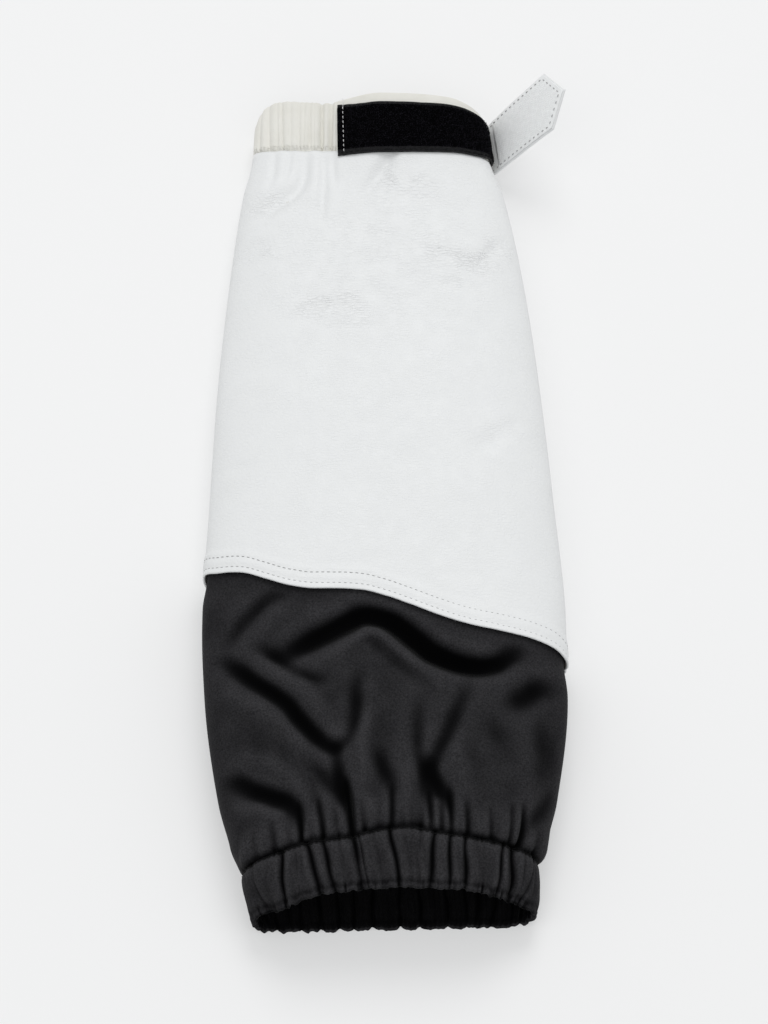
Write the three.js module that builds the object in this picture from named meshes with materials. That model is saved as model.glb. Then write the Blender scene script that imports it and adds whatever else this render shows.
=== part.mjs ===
import * as THREE from 'three';

// A leather arm sleeve lying on a flat surface, which is z = 0. Millimetres, +Z up.
// The wide elastic cuff opens towards -Y and the wrist towards +Y. Every wall follows one skin:
// a soft flattened tube whose sections are in a table, with the folds as rows of two further tables.

// Walls
const LEATHER_WALL = 1.4;
const FABRIC_WALL = 1.2;
const CUFF_WALL = 2.4;
const BAND_WALL = 1.8;
const TAPE_WALL = 2;
const TAB_WALL = 1.4;
const HOOK_WALL = 0.8;

// Clearance between neighbouring pieces
const GAP = 0.3;

// The wrist seam and the wrist's end at the middle of the top
const WRIST_SEAM_Y = 200;
const WRIST_END_Y = 229;

// Where the sleeve is widest
const WIDEST_Y = -75;

// Fabric tucked under the leather hem, and the length over which it comes out to the skin again
const HEM_TUCK = 12;
const HEM_RECOVERY = 18;

// The middle of the whole outline, tab included, in the coordinates of the tables below
const OUTLINE_MIDDLE_X = 1.5;
const OUTLINE_MIDDLE_Y = 2.8;

// Sections: place along the sleeve, left and right edges, height of the top and of the widest points
const SECTIONS = [
  { y: -232, left: -66.5, right: 74.5, top: 44, side: 14 },
  { y: -217, left: -70.2, right: 77.6, top: 45, side: 16 },
  { y: -204, left: -71.2, right: 77, top: 45, side: 18 },
  { y: -194, left: -75.4, right: 80.2, top: 46, side: 20 },
  { y: -168, left: -83.2, right: 86.2, top: 47, side: 21 },
  { y: -114, left: -90.6, right: 92.2, top: 48, side: 22 },
  { y: WIDEST_Y, left: -92.4, right: 92, top: 46.5, side: 22 },
  { y: -1, left: -89.6, right: 86.5, top: 44, side: 20 },
  { y: 57, left: -86.9, right: 81.2, top: 41, side: 18 },
  { y: 117, left: -82.1, right: 74.2, top: 37, side: 16 },
  { y: 178, left: -75.1, right: 63.4, top: 31, side: 13 },
  { y: 200, left: -71.4, right: 57, top: 29, side: 12 },
  { y: 229, left: -68.4, right: 53.6, top: 28.2, side: 10 },
];

// Curved seams over the top: place across the width from -1, the left edge, to 1, the right edge,
// and along the sleeve. They are the leather hem, the cuff's gathering seam and the cuff's lip.
const HEM_SEAM = [
  { across: -1, y: -46.5 },
  { across: -0.92, y: -49.8 },
  { across: -0.85, y: -50.6 },
  { across: -0.78, y: -51.7 },
  { across: -0.65, y: -56.3 },
  { across: -0.52, y: -60.7 },
  { across: -0.38, y: -63 },
  { across: -0.25, y: -63.2 },
  { across: -0.12, y: -64.1 },
  { across: 0.01, y: -67.4 },
  { across: 0.14, y: -72 },
  { across: 0.34, y: -79.3 },
  { across: 0.47, y: -82.9 },
  { across: 0.6, y: -85.1 },
  { across: 0.8, y: -88.4 },
  { across: 0.93, y: -91.7 },
  { across: 1, y: -95.5 },
];
const GATHER_SEAM = [
  { across: -1, y: -207 },
  { across: -0.75, y: -202.8 },
  { across: -0.57, y: -199.4 },
  { across: -0.24, y: -196.2 },
  { across: 0, y: -192.3 },
  { across: 0.13, y: -191.4 },
  { across: 0.25, y: -193 },
  { across: 0.49, y: -195.6 },
  { across: 0.73, y: -198.1 },
  { across: 1, y: -201.5 },
];
const CUFF_LIP = [
  { across: -1, y: -230 },
  { across: -0.83, y: -228.6 },
  { across: -0.53, y: -225.8 },
  { across: -0.22, y: -223.3 },
  { across: 0.03, y: -222.2 },
  { across: 0.44, y: -222.8 },
  { across: 0.85, y: -225.6 },
  { across: 1, y: -227 },
];

// The same for the wrist band, whose columns are its seam with the leather and its end
const WRIST_SEAMS = [
  { across: -1, seam: 206, end: 220 },
  { across: -0.96, seam: 204.5, end: 226.4 },
  { across: -0.88, seam: 203.2, end: 231 },
  { across: -0.79, seam: 202.5, end: 231.6 },
  { across: -0.62, seam: 201.5, end: 230.2 },
  { across: -0.35, seam: 200.4, end: WRIST_END_Y },
  { across: -0.2, seam: WRIST_SEAM_Y, end: WRIST_END_Y },
  { across: 0.69, seam: WRIST_SEAM_Y, end: WRIST_END_Y },
  { across: 0.93, seam: WRIST_SEAM_Y, end: 227 },
  { across: 1, seam: WRIST_SEAM_Y, end: 225 },
];

// Folds of the fabric: a curve from, via and to points of the plan, with its half width and depth.
// A negative depth is a ridge.
const FABRIC_FOLDS = [
  { from: [-51, -95], via: [-31, -100], to: [-9, -74], half: 8, depth: 4.5 },
  { from: [-9, -74], via: [12, -96], to: [46, -108], half: 8, depth: 5 },
  { from: [46, -108], via: [60, -108], to: [67, -94], half: 7, depth: 3.5 },
  { from: [-24, -97], via: [-8, -78], to: [27, -112], half: 7, depth: -2.2 },
  { from: [-78, -101], via: [-53, -123], to: [-25, -150], half: 7, depth: 3.5 },
  { from: [-25, -150], via: [-12, -148], to: [-13, -115], half: 6, depth: 3 },
  { from: [-82, -123], via: [-45, -147], to: [-18, -189], half: 7, depth: 2 },
  { from: [-73, -164], via: [-55, -170], to: [-42, -195], half: 6, depth: 2.2 },
  { from: [0, -154], via: [12, -172], to: [2, -191], half: 6, depth: 2 },
  { from: [12, -134], via: [14, -158], to: [20, -191], half: 6, depth: 2.2 },
  { from: [42, -120], via: [14, -156], to: [33, -191], half: 7, depth: 3 },
  { from: [76, -134], via: [80, -166], to: [63, -200], half: 6, depth: 2.4 },
];

// Shallow creases of the leather, in the same columns
const LEATHER_FOLDS = [
  { from: [-42, 197], via: [-42, 172], to: [-65, 161], half: 6, depth: 1.4 },
  { from: [-31, 197], via: [-32, 176], to: [-32, 155], half: 5, depth: 1.1 },
  { from: [4, 195], via: [-2, 184], to: [-10, 172], half: 6, depth: 0.9 },
  { from: [-62, 142], via: [-68, 139], to: [-73, 133], half: 6, depth: 0.9 },
  { from: [69, 36], via: [57, 25], to: [43, 16], half: 7, depth: 0.9 },
];

// How square the sections are: over the top, and underneath where they lie flat
const TOP_ROUND = 2.6;
const UNDER_ROUND = 2.4;
const UNDER_REACH = 2;
const UNDER_SOFT_FROM = 0.6;
const UNDER_SOFT_TO = 1.4;

// The stiff tape holds the wrist open in an arch, from its left end to the right edge
const ARCH_HEIGHT = 10.4;
const ARCH_FROM_X = -33;
const ARCH_TO_X = -2;
const ARCH_FROM_Y = 165;

// Gathers: pitch across the width and depth, on the cuff and on the elastic part of the band,
// and the share of the cuff's depth that is left where it is pressed flat underneath
const CUFF_PITCH = 12.3;
const CUFF_DEPTH = 1.8;
const CUFF_PRESSED = 0.5;
const BAND_PITCH = 8.2;
const BAND_DEPTH = 0.9;

// Loop strip: height over the skin, where it spans the wrist seam, left end, edges along the
// sleeve, how far they draw in at the right edge, and the turn just below it where the strip ends
const STRIP_SEAT = 0.5;
const STRIP_LEFT_X = -24.7;
const STRIP_NEAR_Y = 196.3;
const STRIP_FAR_Y = 224.6;
const STRIP_DRAW_IN = 2.6;
const STRIP_END = -0.008;

// Closing tab: flat width, how much narrower it is at its bend, on the side away from the elbow,
// its sewn root under the wrist, the bend, the blade and its point
const TAB_WIDTH = 34.5;
const TAB_TAPER = 4.8;
const TAB_ROOT = 14;
const TAB_BEND_RADIUS = 13;
const TAB_RISE = THREE.MathUtils.degToRad(53.5);
const TAB_BLADE = 52;
const TAB_POINT = 13.25;
const TAB_TURN = THREE.MathUtils.degToRad(7.2);
const TAB_FOOT_X = 46;
const TAB_FOOT_Y = 213.1;

// Hook patch: margin inside the tab's edges, and where it starts on the blade
const HOOK_MARGIN = 0.9;
const HOOK_START = 6;

// The wrist's underside makes room for the tab's root
const ROOT_LIFT = TAB_WALL + 2 * GAP;
const ROOT_LIFT_FROM_Y = 160;
const ROOT_LIFT_TO_Y = 194;

// Mesh steps: round the top and the underside, and along each piece
const LEATHER_STEPS = { top: 44, under: 18, along: 13 };
const FABRIC_STEPS = { top: 44, under: 18, along: 12 };
const CUFF_STEPS = { top: 50, under: 36, along: 3 };
const BAND_STEPS = { top: 44, under: 18, along: 3 };
const STRIP_ROWS = 3;
const TAB_BEND_STEPS = 6;
const FOLD_SAMPLES = 14;

// Goes smoothly from 0 to 1 as a value goes from one bound to the other, which may be the lower one
function ease(from, to, value) {
  const t = THREE.MathUtils.clamp((value - from) / (to - from), 0, 1);
  return t * t * (3 - 2 * t);
}

// A smooth curve through one column of a table that never overshoots its rows
function tableCurve(rows, key, column) {
  const slopes = [];
  for (let i = 1; i < rows.length; i++) {
    slopes.push((rows[i][column] - rows[i - 1][column]) / (rows[i][key] - rows[i - 1][key]));
  }
  const tangents = rows.map((row, i) => {
    const before = slopes[Math.max(i - 1, 0)];
    const after = slopes[Math.min(i, slopes.length - 1)];
    return before * after <= 0 ? 0 : (2 * before * after) / (before + after);
  });
  return (value) => {
    const at = THREE.MathUtils.clamp(value, rows[0][key], rows[rows.length - 1][key]);
    let i = 0;
    while (i < rows.length - 2 && at > rows[i + 1][key]) {
      i += 1;
    }
    const span = rows[i + 1][key] - rows[i][key];
    const t = (at - rows[i][key]) / span;
    const start = rows[i][column] * (1 + 2 * t) + tangents[i] * span * t;
    const end = rows[i + 1][column] * (3 - 2 * t) - tangents[i + 1] * span * (1 - t);
    return start * (1 - t) ** 2 + end * t ** 2;
  };
}

const leftEdge = tableCurve(SECTIONS, 'y', 'left');
const rightEdge = tableCurve(SECTIONS, 'y', 'right');
const topHeight = tableCurve(SECTIONS, 'y', 'top');
const sideHeight = tableCurve(SECTIONS, 'y', 'side');

// A seam's place along the sleeve: curved over the top, and straight back underneath
function seamLine(rows, column) {
  const over = tableCurve(rows, 'across', column);
  return (turn) => {
    const across = Math.cos(Math.PI * turn);
    const upper = THREE.MathUtils.euclideanModulo(turn, 2) <= 1;
    return upper ? over(across) : THREE.MathUtils.lerp(over(-1), over(1), (across + 1) / 2);
  };
}

const hemLine = seamLine(HEM_SEAM, 'y');
const gatherLine = seamLine(GATHER_SEAM, 'y');
const lipLine = seamLine(CUFF_LIP, 'y');
const wristSeam = seamLine(WRIST_SEAMS, 'seam');
const wristEnd = seamLine(WRIST_SEAMS, 'end');

// Goes straight up to UNDER_SOFT_FROM, then bends over to 1 at UNDER_SOFT_TO and stays there
function softLimit(value) {
  if (value >= UNDER_SOFT_TO) {
    return 1;
  }
  const past = Math.max(value - UNDER_SOFT_FROM, 0);
  return value - past ** 2 / (2 * (UNDER_SOFT_TO - UNDER_SOFT_FROM));
}

function roundOff(across, power) {
  return (1 - Math.abs(across) ** power) ** (1 / power);
}

// A point of the plain skin. One turn round the sleeve is 2: 0 is the right edge, 0.5 the middle of
// the top, 1 the left edge and 1.5 the middle of the underside.
function plainSkin(turn, y) {
  const across = Math.cos(Math.PI * turn);
  const middle = (leftEdge(y) + rightEdge(y)) / 2;
  const half = (rightEdge(y) - leftEdge(y)) / 2;
  const x = middle + half * across;
  const side = sideHeight(y);
  if (THREE.MathUtils.euclideanModulo(turn, 2) <= 1) {
    const arch = ARCH_HEIGHT * ease(ARCH_FROM_X, ARCH_TO_X, x) * ease(ARCH_FROM_Y, WRIST_END_Y, y);
    const rise = topHeight(y) + arch - side;
    return new THREE.Vector3(x, y, side + rise * roundOff(across, TOP_ROUND));
  }
  const floor = ROOT_LIFT * ease(ROOT_LIFT_FROM_Y, ROOT_LIFT_TO_Y, y) * ease(0, 0.4, across);
  const drop = softLimit(UNDER_REACH * roundOff(across, UNDER_ROUND));
  return new THREE.Vector3(x, y, side - (side - floor) * drop);
}

function skinNormal(turn, y) {
  const turnStep = 0.004;
  const yStep = 0.5;
  const round = plainSkin(turn + turnStep, y).sub(plainSkin(turn - turnStep, y));
  const along = plainSkin(turn, y + yStep).sub(plainSkin(turn, y - yStep));
  return along.cross(round).normalize();
}

// A point moved outwards from the plain skin by a relief and inwards by an inset
function skin(turn, y, inset, relief) {
  const point = plainSkin(turn, y);
  const outwards = relief ? relief(turn, point) : 0;
  return point.addScaledVector(skinNormal(turn, y), outwards - inset);
}

// How far a table of folds moves the skin at a point of the top
function foldRelief(folds) {
  const curves = folds.map((fold) => {
    const ends = [fold.from, fold.via, fold.to].map(([x, y]) => new THREE.Vector2(x, y));
    const path = new THREE.QuadraticBezierCurve(...ends).getPoints(FOLD_SAMPLES);
    return { ...fold, path };
  });
  return (turn, point) => {
    const upper = ease(0, 0.3, Math.sin(Math.PI * turn));
    let outwards = 0;
    for (const { path, half, depth } of curves) {
      let strongest = 0;
      path.forEach((spot, i) => {
        const fade = Math.sqrt(Math.sin((Math.PI * (i + 1)) / (path.length + 1)));
        const away = Math.hypot(point.x - spot.x, point.y - spot.y) / half;
        strongest = Math.max(strongest, fade * Math.exp(-away * away));
      });
      outwards -= depth * strongest;
    }
    return outwards * upper;
  };
}

function gatherRelief(x, pitch, depth) {
  return (-depth * (1 - Math.cos((2 * Math.PI * x) / pitch))) / 2;
}

// Turns spaced evenly along the widest section, so many over the top and so many underneath
function evenTurns(steps) {
  const turns = [];
  const y = WIDEST_Y;
  const samples = 240;
  for (const [start, count] of [[0, steps.top], [1, steps.under]]) {
    const lengths = [0];
    for (let i = 1; i <= samples; i++) {
      const here = plainSkin(start + i / samples, y);
      lengths.push(lengths[i - 1] + here.distanceTo(plainSkin(start + (i - 1) / samples, y)));
    }
    for (let k = 0; k < count; k++) {
      const wanted = (lengths[samples] * k) / count;
      const i = Math.max(lengths.findIndex((length) => length > wanted) - 1, 0);
      const part = (wanted - lengths[i]) / (lengths[i + 1] - lengths[i]);
      turns.push(start + (i + part) / samples);
    }
  }
  return turns;
}

// A closed solid between two grids of points, outer and inner, of the same rows and columns.
// Where the columns close into a ring, only the first and last rows have rims.
function wallGeometry(outer, inner, ring) {
  const rows = outer.length;
  const columns = outer[0].length;
  const positions = [...outer.flat(), ...inner.flat()].flatMap((point) => point.toArray());
  const at = (side, row, column) => (side * rows + row) * columns + (column % columns);
  const triangles = [];
  const quad = (a, b, c, d) => triangles.push(a, b, c, a, c, d);
  const lastColumn = ring ? columns : columns - 1;
  for (let row = 0; row < rows - 1; row++) {
    for (let column = 0; column < lastColumn; column++) {
      const next = column + 1;
      quad(at(0, row, column), at(0, row + 1, column), at(0, row + 1, next), at(0, row, next));
      quad(at(1, row, column), at(1, row, next), at(1, row + 1, next), at(1, row + 1, column));
    }
  }
  for (let column = 0; column < lastColumn; column++) {
    const next = column + 1;
    const last = rows - 1;
    quad(at(0, 0, column), at(0, 0, next), at(1, 0, next), at(1, 0, column));
    quad(at(0, last, column), at(1, last, column), at(1, last, next), at(0, last, next));
  }
  for (let row = 0; row < rows - 1 && !ring; row++) {
    const last = columns - 1;
    quad(at(0, row, 0), at(1, row, 0), at(1, row + 1, 0), at(0, row + 1, 0));
    quad(at(0, row, last), at(0, row + 1, last), at(1, row + 1, last), at(1, row, last));
  }
  const geometry = new THREE.BufferGeometry();
  geometry.setAttribute('position', new THREE.Float32BufferAttribute(positions, 3));
  geometry.setIndex(triangles);
  geometry.computeVertexNormals();
  return geometry;
}

// A tube of the sleeve between a near line and a far line
function tubeGeometry({ near, far, steps, wall, inset, relief }) {
  const turns = evenTurns(steps);
  const grid = (depth) => {
    const rows = [];
    for (let row = 0; row <= steps.along; row++) {
      rows.push(turns.map((turn) => {
        const y = THREE.MathUtils.lerp(near(turn), far(turn), row / steps.along);
        return skin(turn, y, inset(turn, y) + depth, relief);
      }));
    }
    return rows;
  };
  return wallGeometry(grid(0), grid(wall), true);
}

function piece(name, geometry, color, roughness) {
  const material = new THREE.MeshStandardMaterial({ color, roughness, metalness: 0 });
  const mesh = new THREE.Mesh(geometry, material);
  mesh.name = name;
  return mesh;
}

const onSkin = () => 0;

function leatherBody() {
  return tubeGeometry({
    near: hemLine,
    far: (turn) => wristSeam(turn) - GAP / 2,
    steps: LEATHER_STEPS,
    wall: LEATHER_WALL,
    inset: onSkin,
    relief: foldRelief(LEATHER_FOLDS),
  });
}

function fabricPanel() {
  const folds = foldRelief(FABRIC_FOLDS);
  return tubeGeometry({
    near: (turn) => gatherLine(turn) + GAP / 2,
    far: (turn) => hemLine(turn) + HEM_TUCK,
    steps: FABRIC_STEPS,
    wall: FABRIC_WALL,
    inset: (turn, y) => (LEATHER_WALL + GAP) * ease(hemLine(turn) - HEM_RECOVERY, hemLine(turn), y),
    relief: (turn, point) => folds(turn, point) * ease(0, 10, hemLine(turn) + 2 - point.y),
  });
}

function elasticCuff() {
  return tubeGeometry({
    near: lipLine,
    far: (turn) => gatherLine(turn) - GAP / 2,
    steps: CUFF_STEPS,
    wall: CUFF_WALL,
    inset: onSkin,
    relief: (turn, point) => {
      const pressed = THREE.MathUtils.lerp(1, CUFF_PRESSED, ease(0, -0.4, Math.sin(Math.PI * turn)));
      return gatherRelief(point.x, CUFF_PITCH, CUFF_DEPTH) * pressed;
    },
  });
}

function wristBand() {
  return tubeGeometry({
    near: (turn) => wristSeam(turn) + GAP / 2,
    far: wristEnd,
    steps: BAND_STEPS,
    wall: BAND_WALL,
    inset: onSkin,
    relief: (turn, point) => {
      const elastic = ease(STRIP_LEFT_X, STRIP_LEFT_X - BAND_PITCH, point.x);
      return gatherRelief(point.x, BAND_PITCH, BAND_DEPTH) * elastic * ease(0, 0.3, Math.sin(Math.PI * turn));
    },
  });
}

// The turn over the top where the skin at y has a given x
function turnAtX(x, y) {
  const middle = (leftEdge(y) + rightEdge(y)) / 2;
  const half = (rightEdge(y) - leftEdge(y)) / 2;
  return Math.acos((x - middle) / half) / Math.PI;
}

function loopStrip() {
  const start = turnAtX(STRIP_LEFT_X, WRIST_SEAM_Y);
  const turns = [STRIP_END, ...evenTurns(BAND_STEPS).filter((turn) => turn < start), start];
  const grid = (height) => {
    const rows = [];
    for (let row = 0; row <= STRIP_ROWS; row++) {
      rows.push(turns.map((turn) => {
        const near = STRIP_NEAR_Y + STRIP_DRAW_IN * ease(0.2, 0, turn);
        const far = STRIP_FAR_Y - STRIP_DRAW_IN * ease(0.3, 0, turn);
        return skin(turn, THREE.MathUtils.lerp(near, far, row / STRIP_ROWS), -height);
      }));
    }
    return rows;
  };
  return wallGeometry(grid(STRIP_SEAT + TAPE_WALL), grid(STRIP_SEAT), false);
}

// The middle of the tab's leather at a length from its bend's start: along its plan, height and slope
function tabPath(length) {
  const bend = TAB_BEND_RADIUS * TAB_RISE;
  const slope = THREE.MathUtils.clamp(length / TAB_BEND_RADIUS, 0, TAB_RISE);
  const straight = Math.min(length, 0) + Math.max(length - bend, 0);
  return {
    along: TAB_BEND_RADIUS * Math.sin(slope) + straight * Math.cos(slope),
    height: TAB_WALL / 2 + TAB_BEND_RADIUS * (1 - Math.cos(slope)) + straight * Math.sin(slope),
    slope,
  };
}

// A layer of the tab between two heights over the middle of its leather, with a margin inside the
// outline. The rows run along the tab, the columns across it, and the last row is the point.
function tabLayer(lengths, low, high, margin) {
  const halfWidth = TAB_WIDTH / 2 - margin;
  const bend = TAB_BEND_RADIUS * TAB_RISE;
  const grid = (height) => lengths.map((length, row) => [-1, -0.5, 0, 0.5, 1].map((across) => {
    const point = row === lengths.length - 1 ? (TAB_POINT * halfWidth * 2) / TAB_WIDTH : 0;
    const spot = tabPath(Math.min(length, bend + TAB_BLADE) + point * (1 - Math.abs(across)));
    const taper = TAB_TAPER * THREE.MathUtils.clamp(1 - (length - bend) / TAB_BLADE, 0, 1);
    return new THREE.Vector3(
      spot.along - height * Math.sin(spot.slope),
      halfWidth * across - (taper * (across + 1)) / 2,
      spot.height + height * Math.cos(spot.slope),
    );
  }));
  return wallGeometry(grid(high), grid(low), false);
}

function closingTab() {
  const bend = TAB_BEND_RADIUS * TAB_RISE;
  const lengths = [-TAB_ROOT];
  for (let i = 0; i <= TAB_BEND_STEPS; i++) {
    lengths.push((bend * i) / TAB_BEND_STEPS);
  }
  lengths.push(bend + TAB_BLADE / 2, bend + TAB_BLADE);
  return tabLayer(lengths, -TAB_WALL / 2, TAB_WALL / 2, 0);
}

function hookPatch() {
  const bend = TAB_BEND_RADIUS * TAB_RISE;
  const lengths = [bend + HOOK_START, bend + TAB_BLADE / 2, bend + TAB_BLADE];
  const seat = TAB_WALL / 2 + GAP;
  return tabLayer(lengths, seat, seat + HOOK_WALL, HOOK_MARGIN);
}

const sleeve = new THREE.Group();
sleeve.add(
  piece('leather_body', leatherBody(), '#e9ecec', 0.55),
  piece('fabric_panel', fabricPanel(), '#232326', 0.9),
  piece('elastic_cuff', elasticCuff(), '#222225', 0.9),
  piece('wrist_band', wristBand(), '#e2e0d8', 0.75),
  piece('loop_strip', loopStrip(), '#0c0b10', 0.98),
);

const tab = new THREE.Group();
tab.position.set(TAB_FOOT_X, TAB_FOOT_Y, 0);
tab.rotation.z = TAB_TURN;
tab.add(
  piece('closing_tab', closingTab(), '#dedfdf', 0.6),
  piece('hook_patch', hookPatch(), '#d6d6d6', 0.85),
);
sleeve.add(tab);
sleeve.position.set(-OUTLINE_MIDDLE_X, -OUTLINE_MIDDLE_Y, 0);

export default sleeve;
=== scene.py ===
import math

import bmesh
import bpy
import numpy as np
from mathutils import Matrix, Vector


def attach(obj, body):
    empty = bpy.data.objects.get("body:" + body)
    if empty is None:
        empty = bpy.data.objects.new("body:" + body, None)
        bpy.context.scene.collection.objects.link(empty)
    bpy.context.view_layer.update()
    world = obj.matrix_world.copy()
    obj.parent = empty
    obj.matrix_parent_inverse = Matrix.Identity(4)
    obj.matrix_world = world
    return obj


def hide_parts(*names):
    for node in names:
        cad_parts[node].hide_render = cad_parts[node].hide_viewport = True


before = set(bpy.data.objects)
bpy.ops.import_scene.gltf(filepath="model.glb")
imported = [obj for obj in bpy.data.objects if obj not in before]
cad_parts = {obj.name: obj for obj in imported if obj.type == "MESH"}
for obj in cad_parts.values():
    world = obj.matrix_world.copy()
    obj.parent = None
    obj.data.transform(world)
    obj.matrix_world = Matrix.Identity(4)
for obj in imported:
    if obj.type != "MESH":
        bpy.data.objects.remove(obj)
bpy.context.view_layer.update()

# The leather arm sleeve. Every table is in millimetres and in the coordinates of the sleeve's own plan,
# with the cuff towards -Y and the wrist towards +Y. OUTLINE_MIDDLE is the row frame's origin there.
OUTLINE_MIDDLE = np.array([1.5, 2.8, 0.0])
MM = 0.001

LEATHER_WALL = 1.4
FABRIC_WALL = 1.2
CUFF_WALL = 2.4
BAND_WALL = 1.8
GAP = 0.3
WRIST_SEAM_Y = 200.0
WRIST_END_Y = 229.0
WIDEST_Y = -75.0
HEM_TUCK = 12.0
HEM_RECOVERY = 18.0
SEAM_TUCK = 1.0
LIP_STEPS = 8

# Places along the sleeve where lengths round it, and the places of gathers and creases, are read
GATHER_Y = -196.0
CUFF_SEAM_Y = -200.0
CUFF_MIDDLE_Y = -212.0
CUFF_LIP_Y = -224.0
STRIP_MIDDLE_Y = 210.0
BAND_MIDDLE_Y = 214.0

# Sections: place along the sleeve, left and right edges, height of the top and of the widest points
SECTIONS = np.array([
    (-232, -66.5, 74.5, 44, 14),
    (-217, -70.2, 77.6, 45, 16),
    (-204, -71.9, 76.9, 45, 18),
    (-194, -75.7, 79, 46, 20),
    (-168, -83.2, 86.2, 47, 21),
    (-114, -90.6, 92.2, 48, 22),
    (WIDEST_Y, -92.4, 92, 46.5, 22),
    (-1, -89.6, 86.5, 44, 20),
    (57, -86.9, 81.2, 41, 18),
    (117, -82.1, 74.2, 37, 16),
    (178, -75.1, 63.4, 31, 13),
    (200, -70.5, 56.3, 29, 12),
    (229, -68.9, 52.8, 28.2, 10),
], float)

# Seams over the top: place across from -1 (left edge) to 1 (right edge), and along the sleeve
HEM_SEAM = np.array([
    (-1, -47.3), (-0.92, -49.8), (-0.85, -50.6), (-0.78, -51.7), (-0.65, -56.3), (-0.52, -60.7),
    (-0.38, -63), (-0.25, -63.2), (-0.12, -64.1), (0.01, -67.4), (0.14, -72), (0.34, -79.3),
    (0.47, -82.9), (0.6, -85.1), (0.8, -88.4), (0.93, -91.7), (1, -95.5),
], float)
GATHER_SEAM = np.array([
    (-1, -207), (-0.75, -202.8), (-0.57, -199.4), (-0.24, -196.2), (0, -192.3), (0.13, -191.4),
    (0.25, -193), (0.49, -195.6), (0.73, -198.1), (1, -201.5),
], float)
CUFF_LIP = np.array([
    (-1, -231.2), (-0.83, -231.2), (-0.53, -227.4), (-0.22, -225.0), (0.03, -223.8), (0.44, -224.0),
    (0.85, -227.1), (1, -227.4),
], float)

# The same for the wrist band, whose columns are its seam with the leather and its end
WRIST_SEAMS = np.array([
    (-1, 206, 222.5),
    (-0.96, 204.9, 228.6),
    (-0.88, 203.8, 232.2),
    (-0.79, 203.1, 232.9),
    (-0.62, 202.1, 231.5),
    (-0.35, 200.8, WRIST_END_Y + 1),
    (-0.2, WRIST_SEAM_Y, WRIST_END_Y + 0.8),
    (0.69, WRIST_SEAM_Y, WRIST_END_Y + 0.8),
    (0.93, WRIST_SEAM_Y, 227),
    (1, WRIST_SEAM_Y, 225),
], float)

# The stiff tape arches the wrist's top, and the tab's root lifts its underside
ARCH_HEIGHT = 10.4
ARCH_START_X = (-33, -2)
ARCH_START_Y = 165
ROOT_LIFT = 2.0
ROOT_START_Y = (160, 194)
TOP_ROUNDNESS = 2.6
UNDER_ROUNDNESS = 2.4
UNDER_SOFTNESS = 0.4

# The plain seam that closes each tube: how far below the widest point it lies, half width and depth
SIDE_SEAM_BELOW = 5.5
SIDE_SEAM_HALF = 0.9
SIDE_SEAM_DEPTH = 0.7

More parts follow.
